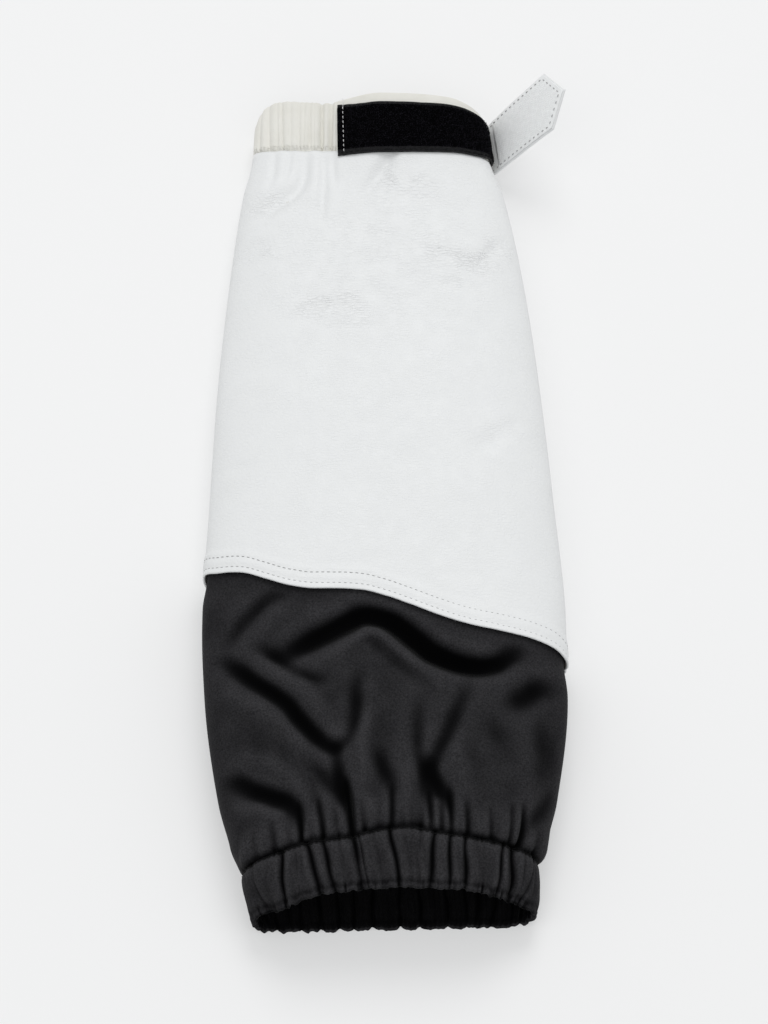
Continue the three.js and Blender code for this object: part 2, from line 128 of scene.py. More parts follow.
# Folds: a curve through points of the plan, the half widths on its left and right, and the depth.
# A negative depth is a ridge.
FABRIC_FOLDS = [
    ([(-42, -93.5), (-29, -86.2), (-19, -80.8), (-10, -76.7), (1, -78.7), (8, -83.7), (15, -89.8),
      (24, -97.4), (36, -103), (47, -105), (55, -103.4), (61, -99.8), (68, -95)], 6.8, 6.4, 7.6),
    ([(-20, -81), (-12, -78), (-4, -78.6), (6, -83.7), (15, -90.8), (24, -98.4), (36, -104), (47, -105.6),
      (56, -103.5), (66, -97)], 6.0, 5.0, 4.0),
    ([(-54, -99.5), (-47, -97), (-37, -92), (-26, -86.5), (-14, -80.5)], 7.5, 7.0, 4.4),
    ([(-29, -102), (-18, -97), (-8, -88.5), (-2, -89.5), (5, -97), (13, -103.5), (24, -113),
      (33, -120)], 4.0, 5.5, -1.6),
    ([(-20, -101), (-12, -93), (-7, -90.8), (-1, -94), (6, -101), (14, -108.5), (23, -116)], 2.4, 5.5, 3.0),
    ([(-82, -98), (-74, -105.2), (-64, -113.4), (-50, -124.4), (-43, -133.4), (-35, -142.4), (-28, -148.2),
      (-22, -150)], 4.8, 4.9, 5.9),
    ([(-70, -94), (-58, -103), (-45, -113), (-35, -124), (-26, -135)], 5.0, 5.0, -2.4),
    ([(-82, -115), (-66, -126), (-50, -140), (-36, -156)], 5.0, 6.0, -1.8),
    ([(-66, -93), (-58, -98.5), (-47, -108), (-38, -111.5), (-30, -113.5)], 4.5, 4.5, 3.2),
    ([(-26, -149), (-20, -147), (-16, -142), (-14, -131), (-14, -118), (-12, -108)], 4.2, 4.0, 2.4),
    ([(-24, -150), (-22.5, -162), (-19.5, -174), (-16.5, -186), (-14.5, -197)], 3.8, 4.2, 4.4),
    ([(-38, -156), (-28, -168), (-21, -180)], 5.0, 5.0, 2.8),
    ([(-76, -163), (-72, -165.5), (-65, -170.2), (-56, -174.2), (-47.5, -178.2), (-43.5, -185),
      (-41, -194)], 5.0, 6.2, 5.2),
    ([(-70, -152), (-56, -158), (-44, -166), (-37, -178)], 5.0, 4.5, -1.8),
    ([(-70, -178), (-60, -181), (-52, -186)], 4.0, 5.0, -1.2),
    ([(43, -114), (40, -121), (36, -130), (31, -143), (25, -155), (23.5, -162), (27.5, -171), (31.5, -179),
      (32, -191)], 4.6, 4.8, 2.8),
    ([(23, -157), (24, -164), (28, -173), (31, -181)], 4.6, 5.0, 2.6),
    ([(36, -148), (38, -163), (42, -176)], 5.0, 5.0, -1.6),
    ([(62, -126), (69, -121), (76, -115.5), (83, -113)], 7.5, 7.5, 4.6),
    ([(-3, -152), (0, -162), (5, -172)], 4.0, 4.5, 2.4),
    ([(-9, -128), (-11, -152), (-9, -176)], 4.0, 4.5, -2.0),
    ([(9, -158), (11, -172), (12, -186)], 4.0, 4.0, -1.6),
    ([(17, -124), (16.5, -138), (17, -152), (19, -164), (20.5, -180), (22, -192)], 4.0, 4.0, 2.4),
    ([(48, -130), (54, -138), (62, -147)], 7.0, 7.0, 1.6),
    ([(87, -168), (79, -178.5), (71, -189.5), (67.5, -200)], 4.0, 4.5, 2.4),
    ([(-52, -64), (-61, -69), (-72, -80), (-80, -92)], 5.0, 5.0, 2.2),
    ([(-48, -72), (-58, -80), (-68, -92)], 4.5, 4.5, -1.2),
    ([(-47, -160), (-36, -172), (-29, -196)], 3.6, 4.0, 1.2),
    ([(78, -130), (81, -148), (79, -166)], 8.0, 8.0, 2.2),
    ([(-8, -178), (-7, -190)], 3.5, 3.5, -1.4),
]
# Short gathers that run up from the cuff's seam: x at the seam, x at the top, length and depth
SEAM_GATHERS = [
    (-62, -64, 12, 1.2), (-54, -56, 17, 1.8), (-46, -48, 10, 1.0), (-41, -43, 21, 2.2), (-36, -37, 9, 1.1),
    (-30, -33, 22, 2.4), (-22, -25, 16, 2.0), (-16, -19, 30, 3.4), (-9, -12, 16, 2.2), (-4, -5, 8, 1.0),
    (2.5, 3.5, 22, 2.5), (8, 8, 8, 0.9), (13, 13, 12, 1.1), (18, 18, 9, 1.2), (23, 22, 22, 2.4),
    (28, 28, 15, 2.0), (33, 32, 24, 2.8), (37, 38, 8, 0.9), (40.5, 40.5, 18, 2.4), (51.5, 52, 16, 2.1),
    (55, 56, 8, 0.9), (60.5, 63, 20, 2.4), (65.5, 69, 22, 3.2), (72.5, 76, 12, 1.4),
]
LEATHER_FOLDS = [
    ([(-42, 204), (-43, 182), (-52, 170), (-65, 161)], 3.5, 5.0, 3.3),
    ([(-32, 203), (-32, 178), (-33, 155)], 2.6, 3.2, 1.9),
    ([(-58, 205), (-59, 188), (-62, 178)], 2.2, 2.4, 1.2),
    ([(-50, 204), (-51, 190), (-54, 182)], 1.9, 2.0, 1.1),
    ([(-27, 202), (-27, 188), (-26, 178)], 1.9, 2.4, 1.3),
    ([(5, 198), (-1, 186), (-10, 172)], 3.6, 4.6, 2.7),
    ([(-61, 143), (-68, 139), (-74, 132)], 4.5, 5.0, 1.0),
    ([(70, 37), (57, 25), (42, 15)], 5.0, 6.0, 1.1),
    ([(62, 145), (56, 138), (48, 128)], 3.4, 4.0, 1.8),
    ([(11, 130), (20, 135), (28, 141)], 2.6, 2.6, -0.5),
    ([(-68, 11), (-78, 9)], 3.5, 3.5, 0.5),
    ([(24, 168), (38, 160), (52, 158)], 5.0, 5.0, 0.6),
]
# Patches of wrinkled grain on the leather: middle in the plan, half sizes along X and Y, and strength
LEATHER_PATCHES = [
    (-57, 168, 20, 11, 0.9), (1, 182, 13, 13, 1.0), (15, 176, 22, 10, 0.8), (26, 136, 16, 10, 0.9),
    (45, 133, 21, 13, 1.0), (35, 119, 19, 10, 0.7), (58, 141, 13, 10, 0.9), (-28, 103, 29, 12, 1.0),
    (-20, 94, 26, 9, 0.8), (-63, 138, 18, 13, 0.7), (-4, 146, 38, 14, 0.55), (60, 30, 18, 13, 0.5),
    (-50, 40, 22, 20, 0.4), (-4, 135, 90, 75, 0.55),
]
GRAIN_BASE = 0.28
# Swells of the cloth: height, lengths along X and Y, and seed
LEATHER_SWELLS = [(0.7, 47, 61, 1), (0.25, 17, 23, 2)]
FABRIC_SWELLS = [(1.0, 17, 25, 11), (0.32, 7, 9, 12)]
CUFF_SWELLS = [(0.42, 4.5, 13, 31), (0.25, 1.9, 11, 32)]

# Creases of the gathered cuff over the top: x at its seam, x at its lip, half width and depth
CUFF_CREASES = [
    (-68, -63, 1.8, 0.4), (-60, -57, 1.3, 0.2), (-52, -51, 1.3, 1.7), (-45, -42, 1.2, 0.2),
    (-38.5, -31.5, 1.2, 1.7), (-30, -24.5, 1.3, 1.8), (-23, -19, 1.1, 0.25), (-15, -10.5, 1.6, 2.7),
    (-12.5, -7.5, 1.0, 1.2), (-5, -1, 1.2, 0.2), (3.3, 7.2, 1.0, 1.7), (11, 13, 1.1, 0.2),
    (18, 17, 1.1, 0.25), (25, 22, 1.3, 1.9), (32, 31.7, 1.1, 1.6), (40, 39.7, 1.1, 1.9),
    (49, 47, 1.2, 0.25), (58.5, 55.2, 1.2, 1.4), (63.6, 63.2, 1.7, 2.6), (70, 68, 1.2, 0.3),
    (75, 71, 1.7, 0.5),
]
# How far the cuff's mouth is drawn in at its corners, by the turn over the top from either edge; underneath
# the turn counts as negative
CORNER_PINCH = np.array([
    (-0.15, 0), (0, 2.0), (0.1, 7.0), (0.15, 8.8), (0.2, 5.8), (0.26, 2.4), (0.33, 0),
], float)
# Creases of the elastic part of the wrist band, in the same columns, wrist end first
BAND_CREASES = [
    (-66, -67.5, 1.4, 0.8), (-62, -62, 1.5, 1.1), (-57.5, -57, 1.0, 0.7), (-55.3, -54.3, 1.0, 1.1),
    (-50, -50, 1.0, 0.5), (-45.4, -45.5, 0.9, 0.8), (-42.8, -43.2, 0.8, 0.6), (-39.7, -39.7, 0.9, 0.9),
    (-37.6, -37.8, 0.8, 0.6), (-33.4, -33.4, 0.9, 2.4), (-28.6, -28.8, 1.0, 2.4), (-25.6, -25.6, 0.9, 1.3),
]
# Puckers at the elastic band's seam: their pitch and length
PUCKER_PITCH = 1.9
PUCKER_LENGTH = 2.8
CUFF_RIB_PITCH = 2.6

# Turned leather hem: width of the doubled part, how far it lifts, and its two stitch rows
HEM_DOUBLED = 10.2
HEM_LIFT = 0.9
HEM_ROWS = (3.1, 9.0)

# Loop strip
STRIP_LEFT_X = -24.5
STRIP_NEAR_Y = 196.3
STRIP_FAR_Y = 223.5
STRIP_END_RISE = 3.6
STRIP_TILT = 0.9
STRIP_DRAW_IN = 2.6
STRIP_END = -0.008
STRIP_LOW = 0.25
STRIP_HIGH = 1.75
SELVEDGE = 1.6
STRIP_STITCH_IN = 3.6
PILE_PITCH = 0.78
PILE_JITTER = 0.36
PILE_RADIUS = 0.085

# Closing tab
TAB_WALL = 1.4
TAB_WIDTH = 34.5
TAB_TAPER = 4.8
TAB_ROOT = 14.0
TAB_BEND_RADIUS = 13.0
TAB_RISE = math.radians(53.5)
TAB_BLADE = 52.0
TAB_POINT = 13.25
TAB_TURN = math.radians(7.2)
TAB_FOOT = np.array([46.0, 213.1, 0.0])
TAB_BEND = TAB_BEND_RADIUS * TAB_RISE
TAB_END = TAB_BEND + TAB_BLADE
TAB_TIP_SLOPE = math.atan2(TAB_POINT, TAB_WIDTH / 2)
TAB_STITCH_INSET = 2.7
TAB_EDGE_SHARES = np.array([0.955, 0.975, 0.99, 1])
TAB_SHARES = np.concatenate([-TAB_EDGE_SHARES[::-1], np.linspace(-0.93, 0.93, 41), TAB_EDGE_SHARES])
HOOK_MARGIN = 0.9
HOOK_FROM = TAB_BEND + 6.0
HOOK_LOW = TAB_WALL / 2 + 0.05
HOOK_HIGH = TAB_WALL / 2 + 0.5
HOOK_ROW_PITCH = 1.35
HOOK_PITCH = 1.3
HOOK_PROFILE = [(0.0, -0.05), (0.02, 0.2), (0.14, 0.32), (0.32, 0.28), (0.4, 0.17)]
HOOK_RADII = np.array([[0.14, 0.13, 0.12, 0.11, 0.08]])

# Stitches: pitch, length, radius of the thread and rise over the surface
HEM_STITCH = (2.85, 2.0, 0.23, 0.12)
CUFF_STITCH = (2.7, 2.0, 0.25, 0.2)
BAND_STITCH = (2.7, 1.7, 0.16, 0.1)
STRIP_END_STITCH = (2.8, 1.55, 0.22, 0.2)
STRIP_EDGE_STITCH = (2.6, 2.0, 0.2, 0.1)
TAB_STITCH = (3.5, 1.7, 0.3, 0.16)
STITCH_SINK = 0.25


def share_of(start, stop, value):
    return np.clip((value - start) / (stop - start), 0, 1)


def ease(start, stop, value):
    t = share_of(start, stop, value)
    return t * t * (3 - 2 * t)


def bell(value, half):
    return np.exp(-((value / half) ** 2))


def cusp(value, half):
    return np.exp(-np.abs(value) / half)


def table_curve(keys, values):
    """A smooth curve through a table that never overshoots its rows."""
    slopes = np.diff(values) / np.diff(keys)
    before = np.concatenate([slopes[:1], slopes])
    after = np.concatenate([slopes, slopes[-1:]])
    same_way = before * after > 0
    total = np.where(same_way, before + after, 1)
    tangents = np.where(same_way, 2 * before * after / total, 0)

    def curve(at):
        at = np.clip(at, keys[0], keys[-1])
        i = np.clip(np.searchsorted(keys, at, side="right") - 1, 0, len(keys) - 2)
        span = keys[i + 1] - keys[i]
        t = (at - keys[i]) / span
        start = values[i] * (1 + 2 * t) + tangents[i] * span * t
        end = values[i + 1] * (3 - 2 * t) - tangents[i + 1] * span * (1 - t)
        return start * (1 - t) ** 2 + end * t ** 2

    return curve


left_edge, right_edge, top_height, side_height = (
    table_curve(SECTIONS[:, 0], SECTIONS[:, column]) for column in (1, 2, 3, 4)
)


def seam_line(rows, column):
    """A seam's place along the sleeve: curved over the top and straight back underneath."""
    over = table_curve(rows[:, 0], rows[:, column])
    first, last = rows[0, column], rows[-1, column]

    def line(turn):
        across = np.cos(np.pi * turn)
        under = first + (last - first) * (across + 1) / 2
        return np.where(np.mod(turn, 2) <= 1, over(across), under)

    return line


hem_line = seam_line(HEM_SEAM, 1)
gather_line = seam_line(GATHER_SEAM, 1)
lip_line = seam_line(CUFF_LIP, 1)
wrist_seam = seam_line(WRIST_SEAMS, 1)
wrist_end = seam_line(WRIST_SEAMS, 2)


def round_off(across, power):
    return np.maximum(1 - np.abs(across) ** power, 0) ** (1 / power)


def soft_limit(value):
    """The value, held to 1 with a soft bend."""
    past = np.clip(value - (1 - UNDER_SOFTNESS), 0, None)
    return np.where(value >= 1 + UNDER_SOFTNESS, 1.0, value - past ** 2 / (4 * UNDER_SOFTNESS))


def plain_skin(turn, y):
    """Points of the plain skin. One turn round is 2: 0 is the right edge, 0.5 the top, 1 the left edge."""
    turn, y = np.broadcast_arrays(np.asarray(turn, float), np.asarray(y, float))
    across = np.cos(np.pi * turn)
    left, right, side = left_edge(y), right_edge(y), side_height(y)
    x = (left + right) / 2 + (right - left) / 2 * across
    arch = ARCH_HEIGHT * ease(*ARCH_START_X, x) * ease(ARCH_START_Y, WRIST_END_Y, y)
    over = side + (top_height(y) + arch - side) * round_off(across, TOP_ROUNDNESS)
    floor = ROOT_LIFT * ease(*ROOT_START_Y, y) * ease(0, 0.4, across)
    under = side - (side - floor) * soft_limit(2 * round_off(across, UNDER_ROUNDNESS))
    return np.stack([x, y, np.where(np.mod(turn, 2) <= 1, over, under)], -1)


def unit(vectors):
    return vectors / np.maximum(np.linalg.norm(vectors, axis=-1, keepdims=True), 1e-9)


def skin_normal(turn, y):
    round_way = plain_skin(turn + 0.004, y) - plain_skin(turn - 0.004, y)
    along = plain_skin(turn, y + 0.5) - plain_skin(turn, y - 0.5)
    return unit(np.cross(along, round_way))


def lifted(turn, y, height):
    """Points at a height over the plain skin, pressed flat where they would go below the floor."""
    points = plain_skin(turn, y) + skin_normal(turn, y) * np.asarray(height)[..., None]
    points[..., 2] = np.maximum(points[..., 2], 0)
    return points


def run_length(points):
    """The length along a path at each of its points."""
    return np.concatenate([[0], np.cumsum(np.linalg.norm(np.diff(points, axis=0), axis=1))])


def even_turns(top, under, y=WIDEST_Y):
    """Turns spaced evenly along one section, so many over the top and so many underneath."""
    found = []
    for start, count in ((0.0, top), (1.0, under)):
        fine = np.linspace(start, start + 1, 600)
        lengths = run_length(plain_skin(fine, y))
        found.append(np.interp(np.arange(count) * lengths[-1] / count, lengths, fine))
    return np.concatenate(found)


def turn_at_x(x, y):
    middle = (left_edge(y) + right_edge(y)) / 2
    half = (right_edge(y) - left_edge(y)) / 2
    return np.arccos(np.clip((x - middle) / half, -1, 1)) / np.pi


def round_length(y):
    """The length round the section at y, as a function of the turn."""
    fine = np.linspace(-0.5, 2.5, 1800)
    lengths = run_length(plain_skin(fine, y))
    return lambda turn: np.interp(turn, fine, lengths)


def cloud(u, v, seed):
    """Smooth noise from -1 to 1 over a lattice of unit squares."""
    grid = np.random.default_rng(seed).uniform(-1, 1, (64, 64))
    iu, iv = np.floor(u).astype(int), np.floor(v).astype(int)
    fu, fv = ease(0, 1, u - iu), ease(0, 1, v - iv)

    def at(i, j):
        return grid[(iu + i) % 64, (iv + j) % 64]

    low = at(0, 0) * (1 - fu) + at(1, 0) * fu
    high = at(0, 1) * (1 - fu) + at(1, 1) * fu
    return low * (1 - fv) + high * fv


def line_cloud(at, seed):
    return cloud(at, at * 0, seed)


def swells(a, b, rows):
    return sum(height * cloud(a / along_a, b / along_b, seed) for height, along_a, along_b, seed in rows)


def smooth_path(points, samples=10):
    """A curve through the points."""
    p = np.array(points, float)
    p = np.vstack([2 * p[0] - p[1], p, 2 * p[-1] - p[-2]])
    t = np.linspace(0, 1, samples, endpoint=False)[:, None]
    runs = []
    for a, b, c, d in zip(p, p[1:], p[2:], p[3:]):
        runs.append(b + 0.5 * t * (c - a + t * (2 * a - 5 * b + 4 * c - d + t * (3 * b - a - 3 * c + d))))
    return np.vstack([*runs, p[-2:-1]])


def fold_relief(x, y, folds):
    """How far a table of folds moves the skin at places of the plan."""
    relief = np.zeros_like(x)
    for points, left, right, depth in folds:
        path = smooth_path(points)
        reach = 2.8 * max(left, right)
        low, high = path.min(0) - reach, path.max(0) + reach
        near = (x > low[0]) & (x < high[0]) & (y > low[1]) & (y < high[1])
        px, py = x[near], y[near]
        strongest = np.zeros_like(px)
        steps = len(path) - 1
        for i in range(steps):
            ax, ay = path[i]
            rx, ry = path[i + 1] - path[i]
            t = np.clip(((px - ax) * rx + (py - ay) * ry) / (rx * rx + ry * ry), 0, 1)
            dx, dy = px - ax - t * rx, py - ay - t * ry
            half = np.where(rx * dy - ry * dx > 0, left, right)
            fade = np.sin(np.pi * (i + t + 0.4) / (steps + 0.8)) ** 0.6
            strongest = np.maximum(strongest, fade * bell(np.hypot(dx, dy), half))
        relief[near] -= depth * strongest
    return relief


def hollow(relief, passes):
    """How far each point of a ring of rows stands over its softened surroundings."""
    soft = relief
    for _ in range(passes):
        soft = (np.roll(soft, 1, 0) + 2 * soft + np.roll(soft, -1, 0)) / 4
        soft = (np.roll(soft, 1, 1) + 2 * soft + np.roll(soft, -1, 1)) / 4
    return relief - soft


def over_top(turn):
    return ease(0, 0.3, np.sin(np.pi * turn))


def side_seam(turn, points):
    """The groove of the plain seam that closes the tube, just below the right edge."""
    below = side_height(points[..., 1]) - points[..., 2] - SIDE_SEAM_BELOW
    on_right = (np.cos(np.pi * turn) > 0.8) * (np.mod(turn, 2) > 1)
    return -SIDE_SEAM_DEPTH * bell(below, SIDE_SEAM_HALF) * on_right


def leather_relief(turn, y):
    points = plain_skin(turn, y)
    x = points[..., 0]
    up = y - hem_line(turn)
    top = over_top(turn)
    relief = HEM_LIFT * ease(HEM_DOUBLED + 4, HEM_DOUBLED - 1, up)
    for row in HEM_ROWS:
        relief = relief - 0.5 * bell(up - row, 0.9)
    relief = relief + 0.12 * cloud(x / 5, up / 4, 3) * ease(14, 8, up)
    relief = relief + fold_relief(x, y, LEATHER_FOLDS) * top
    calm = ease(0, 40, up) * ease(196, 170, y) * top
    relief = relief + swells(x, y, LEATHER_SWELLS) * calm
    relief = relief - 0.7 * bell(y - wrist_seam(turn), 2.0)
    return relief + side_seam(turn, points)


def gather_folds():
    folds = []
    for x, x_up, length, depth in SEAM_GATHERS:
        start = float(gather_line(turn_at_x(x, GATHER_Y))) - 6
        bend = ((x + x_up) / 2 + 0.6, start + length * 0.55)
        folds.append(([(x, start), bend, (x_up, start + length + 6)], 1.5, 1.8, depth))
    return folds


GATHER_FOLDS = gather_folds()


def fabric_fold_depth(turn, y):
    points = plain_skin(turn, y)
    x = points[..., 0]
    clear_of_hem = ease(0, 10, hem_line(turn) + 2 - y)
    folds = fold_relief(x, y, FABRIC_FOLDS) + fold_relief(x, y, GATHER_FOLDS)
    return folds * clear_of_hem * over_top(turn)


def fabric_relief(turn, y):
    points = plain_skin(turn, y)
    x = points[..., 0]
    hem = hem_line(turn)
    inset = (LEATHER_WALL + GAP) * ease(hem - HEM_RECOVERY, hem, y)
    relief = fabric_fold_depth(turn, y) - inset
    relief = relief + swells(x, y, FABRIC_SWELLS) * ease(0, 14, hem - y) * over_top(turn)
    up = y - gather_line(turn)
    pleats = 1.3 * cloud(x / 2.3, y / 45, 13) * bell(up, 8.0)
    fullness = (1.5 + 1.0 * cloud(x / 6.5, y / 60, 14)) * bell(up - 9, 8.0)
    relief = relief + (pleats + fullness) * ease(-0.2, 0.1, np.sin(np.pi * turn)) - 1.6 * bell(up, 2.2)
    pressed_in = np.maximum(0.3 + 1.3 * cloud(x / 2.6, y / 45, 13), 0) * bell(up, 12.0)
    relief = relief - pressed_in * ease(0.0, -0.25, np.sin(np.pi * turn))
    relief = relief + side_seam(turn, points) - 1.0 * seam_ticks(turn) * ease(5.0, 0.5, up)
    sewn_in = cuff_relief(turn, np.maximum(y, gather_line(turn) - SEAM_TUCK))
    sewn_in = sewn_in - (CUFF_WALL - FABRIC_WALL) / 2
    return relief + (sewn_in - relief) * ease(1.5, 0.1, up)


cuff_length = round_length(CUFF_MIDDLE_Y)
band_length = round_length(BAND_MIDDLE_Y)


def cuff_crease_list():
    """Creases round the whole cuff: turn at the seam, turn at the lip, half width and depth."""
    rng = np.random.default_rng(21)
    creases = []
    for x_seam, x_lip, half, depth in CUFF_CREASES:
        creases.append((turn_at_x(x_seam, CUFF_SEAM_Y), turn_at_x(x_lip, CUFF_LIP_Y), half, depth))
    turn = 1.03
    while turn < 1.98:
        shift = rng.uniform(-0.012, 0.012)
        creases.append((turn, turn + shift, rng.uniform(1.1, 1.7), rng.uniform(0.7, 1.7)))
        turn += rng.uniform(0.035, 0.06)
    return creases


CUFF_CREASE_LIST = cuff_crease_list()


def cuff_pull(turn, share):
    """How deep the creases are at a share of the way from lip to seam."""
    pull = np.zeros(np.broadcast_shapes(np.shape(turn), np.shape(share)))
    here = cuff_length(turn)
    for at_seam, at_lip, half, depth in CUFF_CREASE_LIST:
        row = np.full(np.shape(share), 37.0 * at_seam)
        middle = cuff_length(at_lip + (at_seam - at_lip) * share) + 0.7 * cloud(2.3 * share, row, 38)
        width = half * (1.3 - 0.3 * share)
        strength = (0.7 + 0.3 * share) * (0.85 + 0.45 * cloud(2.6 * share, row, 39))
        pull = np.maximum(pull, 1.35 * depth * strength * cusp(here - middle, width))
    return pull


def seam_ticks(turn):
    """Small puckers that the cuff's seam and lip draw in the cloth, from 0 to 1."""
    here = cuff_length(turn)
    return ease(0.05, 0.75, line_cloud(here / 1.25, 36)) * ease(-0.6, 0.4, line_cloud(here / 7.0, 37))


def cuff_relief(turn, y):
    lip, gather = lip_line(turn), gather_line(turn)
    share = share_of(lip, gather, y)
    pull = cuff_pull(turn, share)
    puff = 0.5 * np.sin(np.pi * share) ** 0.7 + 0.7 * ease(0.9, 0.0, pull)
    ripple = swells(cuff_length(turn), y, CUFF_SWELLS)
    from_lip = y - cuff_lip(turn)
    rim = 0.4 * bell(from_lip - 1.3, 0.9) - 0.25 * bell(from_lip - 3.4, 1.1)
    drawn_in = corner_pinch(turn) * (1 - share) ** 2
    drawn_in = drawn_in + 1.3 * ease(0.85, 1.0, np.abs(np.cos(np.pi * turn))) * ease(0.0, 0.5, share)
    ticks = seam_ticks(turn) * (0.8 * ease(4.0, 0.3, gather - y) + 0.9 * ease(6.5, 0.8, from_lip))
    return puff + ripple + rim - pull - drawn_in - ticks - 1.2 * bell(y - gather, 1.7)


def corner_pinch(turn):
    turn = np.mod(turn, 2)
    over = np.minimum(turn, 1 - turn)
    under = -np.minimum(turn - 1, 2 - turn)
    return table_curve(CORNER_PINCH[:, 0], CORNER_PINCH[:, 1])(np.where(turn <= 1, over, under))


def cuff_lip(turn):
    here = cuff_length(turn)
    ruffle = 0.55 * line_cloud(here / 2.6, 33) + 0.35 * line_cloud(here / 1.3, 35)
    return lip_line(turn) + 0.8 * cuff_pull(turn, 0.0) + ruffle


def band_pull(turn, share):
    here = band_length(turn)
    pull = np.zeros(np.broadcast_shapes(np.shape(turn), np.shape(share)))
    for x_end, x_seam, half, depth in BAND_CREASES:
        at_end = turn_at_x(x_end, WRIST_END_Y)
        at_seam = turn_at_x(x_seam, WRIST_SEAM_Y)
        middle = band_length(at_seam + (at_end - at_seam) * share)
        pull = np.maximum(pull, depth * (1 - 0.35 * share) * cusp(here - middle, half * (1 + 0.5 * share)))
    return pull


def band_relief(turn, y):
    x = plain_skin(turn, y)[..., 0]
    seam = wrist_seam(turn)
    share = share_of(seam, wrist_end(turn), y)
    elastic = ease(STRIP_LEFT_X + 1, STRIP_LEFT_X - 3, x) * ease(-0.02, 0.1, np.sin(np.pi * turn))
    puff = 0.5 * np.sin(np.pi * share) ** 0.7
    here = band_length(turn)
    ripple = 0.25 * cloud(here / 3.6, y / 15, 41)
    phase = 2 * np.pi * here / PUCKER_PITCH + 2.2 * line_cloud(here / 5, 42)
    puckers = ease(0.35, 0.98, np.sin(phase)) * ease(PUCKER_LENGTH, 0.6, y - seam)
    relief = (puff + ripple - 1.9 * band_pull(turn, share) - 1.1 * puckers) * elastic
    tucked = (LEATHER_WALL + 0.7) * ease(0.5, -0.5, y - seam)
    return relief * ease(-0.3, 0.6, y - seam) - 0.5 * bell(y - seam, 1.4) - 0.15 - tucked


# Meshes
def quads(rows, columns, close_rows, close_columns):
    r = np.arange(rows if close_rows else rows - 1)
    c = np.arange(columns if close_columns else columns - 1)
    r, c = np.meshgrid(r, c, indexing="ij")
    r_next, c_next = (r + 1) % rows, (c + 1) % columns
    corners = [r * columns + c, r * columns + c_next, r_next * columns + c_next, r_next * columns + c]
    return np.stack(corners, -1).reshape(-1, 4)


def volume(points, faces):
    a, b, c, d = (points[faces[:, i]] for i in range(4))
    return float(np.sum(np.cross(a, b) * c) + np.sum(np.cross(a, c) * d))


def put(name, data):
    thing = bpy.data.objects.new(name, data)
    bpy.context.scene.collection.objects.link(thing)
    return thing


def make_piece(name, node, points, squares, materials, seconds=None, attributes=None, triangles=None):
    """A smooth piece from points of the plan, facing outwards, which may stand for a CAD node. The faces
    marked in seconds have its second material."""
    points = np.asarray(points, float).reshape(-1, 3)
    if volume(points, squares) < 0:
        squares = squares[:, ::-1]
    faces = squares.tolist()
    if triangles is not None:
        faces = faces + triangles.tolist()
    mesh = bpy.data.meshes.new(name)
    mesh.from_pydata(((points - OUTLINE_MIDDLE) * MM).tolist(), [], faces)
    for material in materials:
        mesh.materials.append(material)
    if seconds is not None:
        index = np.zeros(len(faces), np.int32)
        index[: len(seconds)] = seconds
        mesh.polygons.foreach_set("material_index", index)
    for label, values in (attributes or {}).items():
        layer = mesh.attributes.new(label, "FLOAT", "POINT")
        layer.data.foreach_set("value", np.asarray(values, np.float32).ravel())
    mesh.polygons.foreach_set("use_smooth", np.ones(len(faces), bool))
    if triangles is not None:
        shell = bmesh.new()
        shell.from_mesh(mesh)
        bmesh.ops.recalc_face_normals(shell, faces=shell.faces)
        shell.to_mesh(mesh)
        shell.free()
    mesh.update()
    piece = put(name, mesh)
    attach(piece, "root")
    if node:
        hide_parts(node)


def tube_grid(turns, near, far, rows, inner_rows, relief, wall, ends_round, inner_relief=None):
    """Points of a tube's wall as one closed ring of rows: out over the outer face from the far end to the
    near end, round the lip, back along the inner face and round the far end."""
    turn = turns[None, :]
    radius = wall / 2

    def along(spread):
        return near + radius + (far - radius - near - radius) * spread[:, None]

    y_out = along(np.linspace(1, 0, rows))
    outer = relief(turn, y_out)
    runs = [(y_out, outer)]
    angles = np.linspace(0, np.pi, LIP_STEPS)[1:-1, None]
    curl = radius * np.sin(angles)
    drop = radius * (1 - np.cos(angles))
    runs.append((y_out[-1:] - curl, outer[-1:] - drop))
    y_in = along(np.linspace(0, 1, inner_rows))
    inner = relief(turn, y_in) - wall
    if inner_relief is not None:
        inner = inner + inner_relief(turn, y_in)
    runs.append((y_in, inner))
    if ends_round:
        runs.append((y_out[:1] + curl, outer[:1] - wall + drop))
    y, heights = (np.concatenate(values) for values in zip(*runs))
    inside = np.repeat([0, 0, 1, 1][: len(runs)], [len(place) for place, _ in runs])
    turn = np.broadcast_to(turn, y.shape)
    return lifted(turn, y, heights), turn, y, inside


def tube_piece(name, node, slot, grid, inside, materials, attributes=None):
    rows, columns = grid.shape[:2]
    inner_face = np.repeat(inside & np.roll(inside, -1), columns)
    make_piece(name, node, grid, quads(rows, columns, True, True), materials, inner_face, attributes)


